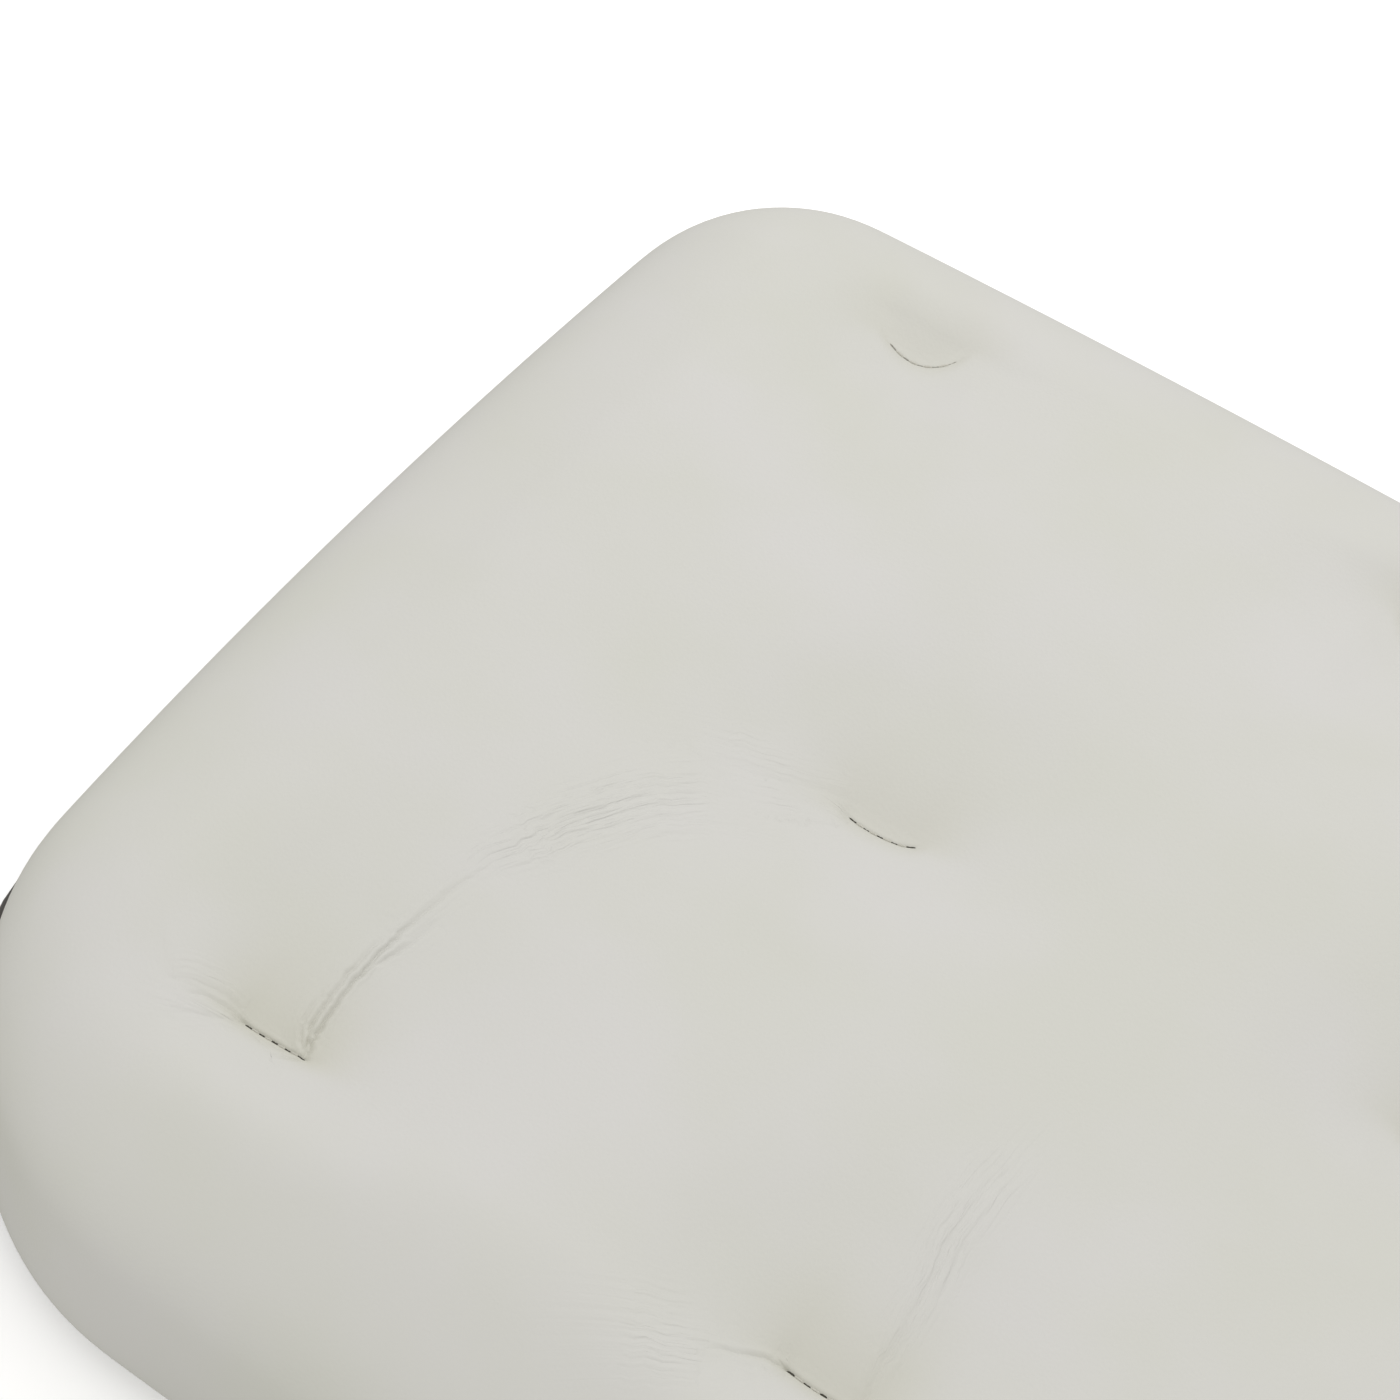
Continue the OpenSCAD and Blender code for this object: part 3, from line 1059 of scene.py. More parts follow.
def distance_to_line(points: Points, line: Points) -> tuple[Points, Points, Points]:
    """How far points lie from a line.

    Args:
        points: x, y pairs.
        line: Points along the line.

    Returns:
        The distance, the place along the line from 0 to 1, and the signed distance across it.
    """
    best = np.full(len(points), FAR)
    place = np.zeros(len(points))
    across = np.zeros(len(points))
    inside = np.all((points > line.min(0) - FAR) & (points < line.max(0) + FAR), axis=1)
    chosen = np.flatnonzero(inside)
    near = points[chosen]
    lengths = np.linalg.norm(np.diff(line, axis=0), axis=1)
    total = lengths.sum()
    walked = 0.0
    for start, end, length in zip(line[:-1], line[1:], lengths):
        run = (end - start) / length
        t = np.clip((near - start) @ run, 0, length)
        off = near - (start + t[:, None] * run)
        gap = np.linalg.norm(off, axis=1)
        nearer = gap < best[chosen]
        rows = chosen[nearer]
        best[rows] = gap[nearer]
        place[rows] = np.clip((walked + t[nearer]) / total, 0, 1)
        across[rows] = (off @ np.array([-run[1], run[0]]))[nearer]
        walked += length
    return best, place, across


def crease_lines(tufts: Sequence[Tuft]) -> list[tuple[Tuft, Crease, Points]]:
    """Every crease with its tuft and its line."""
    return [(t, c, c.line(t.centre)) for t in tufts for c in t.creases]


@dataclass(frozen=True)
class FineZone:
    """Where the cover's faces are split once more: round tufts, beside seams and on creases."""

    round_tuft: float
    past_seam: float
    off_seam: float
    off_crease: float
    least_depth: float = -1.0

    def holds(self, centres: Points, tufts: Sequence[Tuft]) -> Points:
        """Says which faces lie in the zone.

        Args:
            centres: Centres of the faces.
            tufts: The tufts with their creases.

        Returns:
            True for each face inside it.
        """
        near = np.zeros(len(centres), bool)
        for tuft in tufts:
            along, behind = tuft.local(centres)
            near |= np.hypot(along, behind) < self.round_tuft
            near |= (abs(along) < tuft.half_length + self.past_seam) & (abs(behind) < self.off_seam)
        for _, crease, line in crease_lines(tufts):
            if crease.depth > self.least_depth:
                near |= distance_to_line(centres[:, :2], line)[0] < self.off_crease
        return near


FINE_ZONES = (
    FineZone(34 * MM, 0.0, 0.0, 8 * MM),
    FineZone(0.0, 4 * MM, 6 * MM, 3 * MM),
    FineZone(0.0, 2 * MM, 2.2 * MM, 1.6 * MM, 0.15),
    FineZone(0.0, 1 * MM, 0.9 * MM, 1.1 * MM, 0.3),
)


@dataclass(frozen=True)
class SeamDent:
    """The dent that a tuft's seam pulls into the leather: a ledge, a slot and a lip before it, and the
    painted shade in the pocket behind it.
    """

    depth: float = 1.5 * MM
    end_fade: float = 4.5 * MM
    back_fade: float = 9 * MM
    front_fade: float = 2.2 * MM
    slot_half: float = 0.6 * MM
    slot_end: float = 1.6 * MM
    slot_depth: float = 0.9
    slot_loss: float = 0.35
    lip_height: float = 0.6 * MM
    lip_place: float = 5 * MM
    lip_half: float = 4.5 * MM
    lip_end: float = 7 * MM
    # Reach and strength of the painted shade in the pocket behind a seam.
    pocket_shade_reach: float = 12 * MM
    pocket_shade_strength: float = 0.7

    def down(self, tuft: Tuft, beyond: Points, behind: Points) -> Points:
        """How far the leather goes down at a seam.

        Args:
            tuft: The tuft.
            beyond: Distance of each point past the seam's ends.
            behind: Distance of each point behind the seam.

        Returns:
            The depth in metres.
        """
        fade = np.exp(-((beyond / self.end_fade) ** 2))
        back = np.exp(-np.maximum(behind, 0) / self.back_fade)
        front = np.exp(-np.maximum(-behind, 0) / self.front_fade)
        ledge = self.depth * tuft.pull * fade * np.where(behind > 0, back, front)
        slot = np.exp(-((beyond / self.slot_end) ** 2) - (behind / self.slot_half) ** 2)
        slot *= (self.slot_depth * tuft.pull - self.slot_loss) * MM
        lip = np.exp(-(((behind + self.lip_place) / self.lip_half) ** 2))
        lip *= self.lip_height * tuft.pull * np.exp(-((beyond / self.lip_end) ** 2))
        return ledge + slot - lip

    def pocket_shade(self, tuft: Tuft, beyond: Points, behind: Points) -> Points:
        """How strongly shade is painted on the leather in the pocket behind a seam, from 0 to 1."""
        gap = np.hypot(beyond, np.where(behind > 0, behind * 0.55, behind * 3.0))
        return self.pocket_shade_strength * tuft.pull * np.exp(-((gap / self.pocket_shade_reach) ** 2))


@dataclass(frozen=True)
class WrinkleFan:
    """The fan of fine wrinkles off one end of a tuft's seam."""

    start: float = 0.8
    root: float = 6 * MM
    droop: float = 0.3
    half_width: float = 3 * MM
    widening: float = 0.22
    rise: float = 5 * MM
    fade_from: float = 12 * MM
    fade_to: float = 38 * MM
    spread_mm: float = 22.0

    def lay(self, tuft: Tuft, points: Points) -> tuple[Points, Points, Points]:
        """Lays one tuft's wrinkles.

        Args:
            tuft: The tuft.
            points: Points of the leather.

        Returns:
            Their strength at each point, and its places along and across them in millimetres.
        """
        along, behind = tuft.local(points)
        beyond = np.maximum(tuft.fan * along - tuft.half_length * self.start, 0)
        gap = np.hypot(beyond, behind)
        half = self.half_width + self.widening * beyond
        strength = tuft.pull * np.exp(-(((behind + self.droop * beyond) / half) ** 2))
        strength *= smooth_step(0, self.rise, beyond)
        strength *= 1 - smooth_step(self.fade_from, self.fade_to, gap)
        across = np.arctan2(behind, beyond + self.root) * self.spread_mm
        return strength, gap / MM, across


# ---------------------------------------------------------------- the cushion


@dataclass
class Cushion:
    """The leather cover and the soft layers under it.

    The cover starts as a plain rolled-edge form with shallow wells, is blown up by a cloth
    simulation that is held at the hem and the tufts, and then gets its seams and creases.
    """

    tufts: list[Tuft]
    slack: float = 9.4 * MM
    side_bow: float = 8.8 * MM
    end_bow: float = 10.6 * MM
    front_radius: float = 82 * MM
    back_radius: float = 50.5 * MM
    edge_top: float = 92.5 * MM
    crown: float = 2.2 * MM
    roll_in: float = 43.5 * MM
    roll_down: float = 47 * MM
    tuck_in: float = 1.5 * MM
    hem_in: float = 43 * MM
    leather: float = 1.4 * MM
    wadding: float = 8 * MM
    step: float = 5 * MM
    well_radius: float = 30 * MM
    well_behind: float = 0.85
    well_before: float = 1.15
    well_power: float = 1.3
    edge_keep: float = 5 * MM
    cap: float = 7 * MM
    settle_rounds: int = 6
    frames: int = 20
    flow_layer: float = 7.3
    profile: list[tuple[float, float]] = field(init=False)
    shell: Shell = field(init=False)
    form: Points = field(init=False)
    marks: dict[str, int] = field(init=False)

    def __post_init__(self) -> None:
        """Reads the frame's sizes and lays out the start form."""
        low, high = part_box("top_cover")
        _, board_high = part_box("seat_board")
        self.hem_z = low.z
        self.board_top = board_high.z
        outline = Outline(
            (high.x - low.x) / 2 - self.slack,
            (high.y - low.y) / 2 - self.slack,
            self.front_radius,
            self.back_radius,
            self.side_bow,
            self.end_bow,
        )
        self.profile, self.marks = self.make_profile()
        width = 2 * (outline.half_width - self.profile[0][0])
        depth = 2 * (outline.half_depth - self.profile[0][0])
        across, along = round(width / self.step), round(depth / self.step)
        self.shell = Shell(outline, across, along, self.profile)
        self.form = self.start_form()

    def make_profile(self) -> tuple[list[tuple[float, float]], dict[str, int]]:
        """The edge from the top down to the hem, as insets and heights.

        Returns:
            The profile, and the numbers of the rings at its widest line, board top and tuck.
        """
        widest = self.edge_top - self.roll_down
        points: list[tuple[float, float]] = []
        steps = round(math.pi / 2 * self.roll_in / self.step)
        for i in range(steps + 1):
            a = math.pi / 2 * (1 - (i + 0.6) / (steps + 0.6))
            points.append((self.roll_in * (1 - math.cos(a)), widest + self.roll_down * math.sin(a)))
        marks = {"widest": len(points) - 1}
        drop = widest - self.hem_z
        steps = round(drop * 1.25 / self.step)
        for i in range(1, steps + 1):
            a = math.pi / 2 * i / steps
            points.append((self.tuck_in * (1 - math.cos(a)), widest - drop * math.sin(a)))
            if "board" not in marks and points[-1][1] < self.board_top:
                marks["board"] = len(points) - 1
        marks["tuck"] = len(points) - 1
        steps = round((self.hem_in - self.tuck_in) / self.step)
        for i in range(1, steps + 1):
            points.append((self.tuck_in + (self.hem_in - self.tuck_in) * i / steps, self.hem_z))
        return points, marks

    def well(self, points: Points) -> Points:
        """Depth of the wide, soft wells.

        Args:
            points: Points of the top.

        Returns:
            The depth at each point.
        """
        depth = np.zeros(len(points))
        for tuft in self.tufts:
            along, behind = tuft.local(points)
            beyond = np.maximum(abs(along) - tuft.half_length, 0)
            stretch = np.where(behind > 0, self.well_behind, self.well_before)
            gap = np.hypot(beyond, behind * stretch)
            sunk = np.exp(-((gap / self.well_radius) ** self.well_power))
            sunk *= 1 - smooth_step(self.well_radius, 2 * self.well_radius, gap)
            depth = np.maximum(depth, self.tuft_depth(tuft) * sunk)
        outline = self.shell.outline
        from_side = outline.half_width - abs(points[:, 0])
        from_end = outline.half_depth - abs(points[:, 1])
        return depth * smooth_step(self.edge_keep, self.roll_in, np.minimum(from_side, from_end))

    def tuft_depth(self, tuft: Tuft) -> float:
        """How far a tuft's seam lies below the top's edge."""
        low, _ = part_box(f"tuft_stitch_{tuft.number}")
        return (self.edge_top - low.z) * (0.72 + 0.28 * tuft.pull)

    def start_form(self) -> Points:
        """Shapes the crowned top with its wells.

        Returns:
            The form's points before the simulation.
        """
        points = self.shell.points()
        outline = self.shell.outline
        x = points[:, 0] / outline.half_width
        y = points[:, 1] / outline.half_depth
        top = smooth_step(self.edge_top - self.roll_down * 0.6, self.edge_top, points[:, 2])
        points[:, 2] += top * self.crown * np.clip(1 - x**2, 0, 1) * np.clip(1 - y**2, 0, 1)
        points[:, 2] -= top * self.well(points)
        return points

    def close_faces(self) -> list[Face]:
        """All faces of the closed form.

        Returns:
            The top, sides and hem, and one face across the hem's edge.
        """
        shell = self.shell
        last = shell.ring_numbers(len(self.profile) - 1)
        return shell.patch_faces() + shell.ring_faces() + [tuple(reversed(last))]

    def simulate(self) -> None:
        """Blows the cover up with a cloth simulation and keeps the result in form."""
        piece = make_piece("cover_cloth", self.form, self.close_faces())
        held = piece.vertex_groups.new(name="held")
        points = self.form
        tuck = self.shell.ring_numbers(self.marks["tuck"] - 2)[0]
        held.add(list(range(tuck, len(points))), 1.0, "REPLACE")
        for tuft in self.tufts:
            along, behind = tuft.local(points)
            near = (abs(along) < tuft.half_length + 1 * MM) & (abs(behind) < 3.2 * MM)
            near &= points[:, 2] > self.edge_top - self.roll_down
            held.add([int(i) for i in np.flatnonzero(near)], 1.0, "REPLACE")
        cloth = piece.modifiers.new("cloth", "CLOTH")
        cloth.settings.quality = 6
        cloth.settings.mass = 0.25
        cloth.settings.tension_stiffness = 22
        cloth.settings.compression_stiffness = 22
        cloth.settings.shear_stiffness = 8
        cloth.settings.bending_stiffness = 1.2
        cloth.settings.air_damping = 2.0
        cloth.settings.use_pressure = True
        cloth.settings.uniform_pressure_force = 4.0
        cloth.settings.vertex_group_mass = held.name
        cloth.settings.effector_weights.gravity = 0.0
        cloth.collision_settings.use_collision = False
        cloth.point_cache.frame_start = 1
        cloth.point_cache.frame_end = self.frames
        scene = bpy.context.scene
        for number in range(1, self.frames + 1):
            scene.frame_set(number)
        apply_modifiers(piece)
        moved = points_of(piece) - self.form
        scene.frame_set(1)
        bpy.data.objects.remove(piece)
        moved = self.settled(moved)
        length = np.linalg.norm(moved, axis=1)
        most, mean = length.max() / MM, length.mean() / MM
        LOG.info("cover cloth moved %.1f mm at most, %.1f mm on average", most, mean)
        limit = self.cap * np.tanh(length / self.cap)
        self.form = self.form + moved * (limit / np.maximum(length, 1e-9))[:, None]

    def settled(self, moved: Points) -> Points:
        """Evens the cloth's movement out, and keeps it from sinking into the filling.

        Args:
            moved: How far each point of the form moved.

        Returns:
            The movement that is kept.
        """
        squares = self.shell.patch_faces() + self.shell.ring_faces()
        edges = np.array([(f[i], f[(i + 1) % 4]) for f in squares for i in range(4)])
        share = np.bincount(edges.ravel(), minlength=len(moved))[:, None]
        for _ in range(self.settle_rounds):
            near = np.zeros_like(moved)
            np.add.at(near, edges[:, 0], moved[edges[:, 1]])
            np.add.at(near, edges[:, 1], moved[edges[:, 0]])
            moved = 0.5 * moved + 0.5 * near / share
        normals = self.normals()
        inward = np.minimum((moved * normals).sum(1), 0)
        return moved - normals * inward[:, None]

    def normals(self) -> Points:
        """Finds which way the form's surface faces.

        Returns:
            The outward normal at each point.
        """
        probe = make_piece("probe", self.form, self.close_faces())
        flat = np.zeros(len(self.form) * 3)
        probe.data.vertices.foreach_get("normal", flat)
        bpy.data.objects.remove(probe)
        return flat.reshape(-1, 3)

    # ---- the cover

    def refine(self, shape: bmesh.types.BMesh, zone: FineZone) -> None:
        """Splits the top's faces once inside a zone.

        Args:
            shape: The mesh.
            zone: Where to split.
        """
        faces = list(shape.faces)
        centres = np.array([f.calc_center_median() for f in faces])
        facing = np.array([f.normal.z for f in faces])
        on_top = (facing > 0.2) & (centres[:, 2] > self.board_top)
        wanted = zone.holds(centres, self.tufts) & on_top
        edges = {e for f, want in zip(faces, wanted) if want for e in f.edges}
        bmesh.ops.subdivide_edges(shape, edges=list(edges), cuts=1, use_grid_fill=True)

    def make_cover(self, finish: bpy.types.Material) -> bpy.types.Object:
        """Makes the leather cover with its seams and creases.

        Args:
            finish: The leather.

        Returns:
            The cover.
        """
        inner = self.form - self.normals() * self.leather
        count = len(inner)
        faces = self.shell.patch_faces() + self.shell.ring_faces()
        back = [tuple(n + count for n in reversed(f)) for f in faces]
        hem = self.shell.ring_numbers(len(self.profile) - 1)
        edge = [(a, a + count, b + count, b) for a, b in zip(hem, hem[1:] + hem[:1])]
        piece = make_piece("leather_cover", np.vstack([self.form, inner]), faces + back + edge)
        smooth = piece.modifiers.new("smooth", "SUBSURF")
        smooth.levels = smooth.render_levels = 1
        apply_modifiers(piece)
        shape = bmesh.new()
        shape.from_mesh(piece.data)
        for zone in FINE_ZONES:
            self.refine(shape, zone)
        shape.to_mesh(piece.data)
        shape.free()
        piece.data.polygons.foreach_set("use_smooth", [True] * len(piece.data.polygons))
        self.sculpt(piece)
        self.mark_flow(piece)
        dress(piece, [finish])
        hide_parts("top_cover")
        return piece

    def sculpt(self, piece: bpy.types.Object) -> None:
        """Sinks the seams and the creases into the cover's top, and stores where shade is painted in
        the pockets behind the seams.

        Args:
            piece: The cover.
        """
        points = points_of(piece)
        flat = np.zeros(len(points) * 3)
        piece.data.vertices.foreach_get("normal", flat)
        up = smooth_step(0.15, 0.6, abs(flat.reshape(-1, 3)[:, 2]))
        up *= smooth_step(self.board_top, self.edge_top - self.roll_down / 2, points[:, 2])
        dent = SeamDent()
        down = np.zeros(len(points))
        pocket_shade = np.zeros(len(points))
        for tuft in self.tufts:
            along, behind = tuft.local(points)
            beyond = np.maximum(abs(along) - tuft.half_length, 0)
            down += dent.down(tuft, beyond, behind)
            pocket_shade = np.maximum(pocket_shade, dent.pocket_shade(tuft, beyond, behind))
        for _, crease, line in crease_lines(self.tufts):
            gap, place, _ = distance_to_line(points[:, :2], line)
            down += crease.section(gap) * (1 - place**2) * smooth_step(-0.02, 0.06, place)
        points[:, 2] -= down * up
        set_points(piece, points)
        # Painted shade: how strongly the pockets behind the seams are darkened, kept for the leather.
        kept = piece.data.attributes.new("pocket_shade", "FLOAT", "POINT")
        kept.data.foreach_set("value", np.clip(pocket_shade * up, 0, 1).astype(np.float32))

    def mark_flow(self, piece: bpy.types.Object) -> None:
        """Stores on the cover's points which way fine wrinkles run and how strong they are.

        Args:
            piece: The cover.
        """
        points = points_of(piece)
        fan = WrinkleFan()
        flow = np.zeros((len(points), 3))
        strength = np.zeros(len(points))
        second = np.zeros(len(points))
        for tuft in self.tufts:
            layer = tuft.number * self.flow_layer
            self.lay_flow(flow, strength, second, *fan.lay(tuft, points), layer)
        for tuft, crease, line in crease_lines(self.tufts):
            gap, place, across = distance_to_line(points[:, :2], line)
            length = np.linalg.norm(np.diff(line, axis=0), axis=1).sum()
            reach = crease.spread * MM * (0.5 + place)
            mine = crease.fine * np.exp(-((gap / reach) ** 2))
            mine *= np.sin(np.pi * np.clip(place, 0.02, 0.98)) ** 0.5
            layer = tuft.number * self.flow_layer + 3
            self.lay_flow(flow, strength, second, mine, place * length / MM, across / MM, layer)
        kept = piece.data.attributes.new("flow", "FLOAT_VECTOR", "POINT")
        kept.data.foreach_set("vector", flow.astype(np.float32).ravel())
        kept = piece.data.attributes.new("pull", "FLOAT", "POINT")
        kept.data.foreach_set("value", np.clip(strength - second, 0, 1).astype(np.float32))

    def lay_flow(
        self,
        flow: Points,
        strength: Points,
        second: Points,
        mine: Points,
        run: Points,
        across: Points,
        layer: float,
    ) -> None:
        """Takes one set of wrinkles wherever it is the strongest yet.

        Args:
            flow: Where the kept wrinkles' places are, which it changes.
            strength: The kept wrinkles' strength, which it changes.
            second: The strength of the next strongest set, which it changes.
            mine: This set's strength.
            run: Place along this set's wrinkles, in millimetres.
            across: Place across them, in millimetres.
            layer: A number that keeps this set's pattern apart from the others.
        """
        better = mine > strength
        second[:] = np.maximum(second, np.where(better, strength, mine))
        for column, value in enumerate((run, across)):
            flow[better, column] = value[better]
        flow[better, 2] = layer
        strength[better] = mine[better]

    # ---- the filling

    def under(self, depth: float, pinch: float) -> Points:
        """The form's points moved inwards, less where a tuft pinches the layers.

        Args:
            depth: How far in.
            pinch: How far in at a tuft.

        Returns:
            The moved points.
        """
        wells = np.clip(self.well(self.form) / max(self.tuft_depth(t) for t in self.tufts), 0, 1)
        amount = depth + (pinch - depth) * wells
        moved = self.form - self.normals() * amount[:, None]
        sunk = 3.2 * MM * np.exp(-((1 - wells) / 0.25) ** 2)
        moved[:, 2] -= sunk
        return moved

    def make_wadding(self, finish: bpy.types.Material) -> bpy.types.Object:
        """Makes the layer of wadding under the leather, open below where the board is.

        Args:
            finish: The wadding's material.

        Returns:
            The wadding.
        """
        last = self.marks["board"]
        outer = self.under(self.leather + 0.3 * MM, self.leather + 0.3 * MM)
        inner = self.under(self.leather + self.wadding, self.leather + 2.5 * MM)
        faces = self.shell.patch_faces() + self.shell.ring_faces(0, last)
        count = self.shell.ring_numbers(last)[-1] + 1
        outer, inner = outer[:count], inner[:count]
        edge = self.shell.ring_numbers(last)
        joined = [
            (edge[i], edge[i] + count, edge[(i + 1) % len(edge)] + count, edge[(i + 1) % len(edge)])
            for i in range(len(edge))
        ]
        back = [tuple(n + count for n in reversed(f)) for f in faces]
        piece = make_piece("wadding_layer", np.vstack([outer, inner]), faces + back + joined)
        make_normals_face_out(piece)
        dress(piece, [finish])
        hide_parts("wadding")
        return piece

    def make_foam(
        self, name: str, node: str, first: int, last: int, finish: bpy.types.Material
    ) -> bpy.types.Object:
        """Makes one foam block, between two rings of the form.

        Args:
            name: The piece's name.
            node: The frame's node that it stands for.
            first: Its top ring, or -1 for the whole top.
            last: Its bottom ring.
            finish: The foam's material.

        Returns:
            The block.
        """
        points = self.under(self.leather + self.wadding + 0.4 * MM, self.leather + 3.4 * MM)
        shell = self.shell
        bottom = shell.ring_numbers(last)
        faces = shell.ring_faces(max(first, 0), last) + [tuple(reversed(bottom))]
        faces += shell.patch_faces() if first < 0 else [tuple(shell.ring_numbers(first))]
        floor = float(points[bottom, 2].mean())
        points[bottom, 2] = floor if first < 0 else self.board_top + 0.2 * MM
        if first >= 0:
            points[shell.ring_numbers(first), 2] -= 0.2 * MM
        used = sorted({n for f in faces for n in f})
        number = {n: i for i, n in enumerate(used)}
        piece = make_piece(name, points[used], [tuple(number[n] for n in f) for f in faces])
        make_normals_face_out(piece)
        edges = piece.modifiers.new("edges", "BEVEL")
        edges.width = 1 * MM
        edges.segments = 2
        edges.limit_method = "ANGLE"
        apply_modifiers(piece)
        dress(piece, [finish])
        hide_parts(node)
        return piece


# ---------------------------------------------------------------- seams


@dataclass
class TuftSeams:
    """The stitches of each tuft's seam: pale thread between needle slits painted dark as shadow."""

    cover: bpy.types.Object
    holes: int = 5
    thread_radius: float = 0.34 * MM
    slit_length: float = 2.2 * MM
    slit_width: float = 0.75 * MM
    thread_run: tuple[float, float] = (0.2, 0.8)
    thread_lift: float = 0.30 * MM
    thread_sink: float = 0.12 * MM
    slit_sink: float = 0.25 * MM
    sides: int = 8

    def __post_init__(self) -> None:
        """Readies the cover for finding its surface."""
        graph = bpy.context.evaluated_depsgraph_get()
        self.tree = BVHTree.FromObject(self.cover, graph)

    def height(self, place: Points) -> float:
        """Height of the leather at a place of the top."""
        hit, _, _, _ = self.tree.ray_cast(Vector((place[0], place[1], 0.3)), Vector((0, 0, -1)))
        return float(hit.z)

    def tube(
        self, path: Points, radii: Sequence[float], points: list[Points], faces: list[Face]
    ) -> None:
        """Adds a closed tube with round ends along a path.

        Args:
            path: Its centreline.
            radii: Its radius at each point of the path.
            points: The mesh's points so far, which it adds to.
            faces: The mesh's faces so far, which it adds to.
        """
        first = len(points)
        count = len(path)
        for i, (centre, radius) in enumerate(zip(path, radii)):
            run = path[min(i + 1, count - 1)] - path[max(i - 1, 0)]
            run = run / np.linalg.norm(run)
            side = np.cross(run, [0.0, 0.0, 1.0])
            side /= np.linalg.norm(side)
            up = np.cross(side, run)
            for k in range(self.sides):
                a = 2 * math.pi * k / self.sides
                points.append(centre + radius * (math.cos(a) * side + math.sin(a) * up))
        for i in range(count - 1):
            for k in range(self.sides):
                a, b = first + i * self.sides + k, first + i * self.sides + (k + 1) % self.sides
                faces.append((a, b, b + self.sides, a + self.sides))
        faces.append(tuple(first + k for k in reversed(range(self.sides))))
        faces.append(tuple(first + (count - 1) * self.sides + k for k in range(self.sides)))

    def seam_path(self, tuft: Tuft, places: Points, lifts: Points) -> Points:
        """Lays a path on the leather along a seam.

        Args:
            tuft: The seam's tuft.
            places: Places along the seam, from -1 to 1.
            lifts: Height above the leather at each place.

        Returns:
            The path's points.
        """
        made = []
        for t, lift in zip(places, lifts):
            place = tuft.seam_point(t)
            made.append([place[0], place[1], self.height(place) + lift])
        return np.array(made)

    def make(
        self, tuft: Tuft, thread: bpy.types.Material, slit: bpy.types.Material
    ) -> bpy.types.Object:
        """Makes one tuft's seam.

        Args:
            tuft: The tuft.
            thread: The thread's material.
            slit: The material that paints the needle slits dark as their shadow.

        Returns:
            The seam's stitches.
        """
        points: list[Points] = []
        faces: list[Face] = []
        places = np.linspace(-0.94, 0.94, self.holes)
        gap = places[1] - places[0]
        first, last = self.thread_run
        for start in places[:-1]:
            steps = np.linspace(first, last, 9)
            arch = np.clip(np.sin(math.pi * (steps - first) / (last - first)), 0, 1) ** 0.6
            lifts = self.thread_lift * arch - self.thread_sink
            path = self.seam_path(tuft, start + gap * steps, lifts)
            radii = self.thread_radius * np.array([0.55, 0.85, 1, 1, 1, 1, 1, 0.85, 0.55])
            self.tube(path, list(radii), points, faces)
        threads = len(faces)
        chance = np.random.default_rng(tuft.number)
        # Dark slits at the needle holes: painted shadow of the open holes.
        for place in places:
            half = self.slit_length / 2 / tuft.half_length * chance.uniform(0.75, 1.25)
            wide = self.slit_width * (0.35 + 0.25 * tuft.pull) * chance.uniform(0.75, 1.25)
            steps = np.linspace(-1, 1, 9)
            lifts = -self.slit_sink * (1 - abs(steps))
            path = self.seam_path(tuft, place + half * steps, lifts)
            radii = wide * np.sqrt(np.clip(1.04 - steps**2, 0.04, 1))
            self.tube(path, list(radii), points, faces)
        piece = make_piece(f"seam_stitches_{tuft.number}", np.array(points), faces)
        make_normals_face_out(piece)
        dress(piece, [thread, slit])
        for i, polygon in enumerate(piece.data.polygons):
            polygon.material_index = int(i >= threads)
        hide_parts(f"tuft_stitch_{tuft.number}")
        return piece


# ---------------------------------------------------------------- the pan


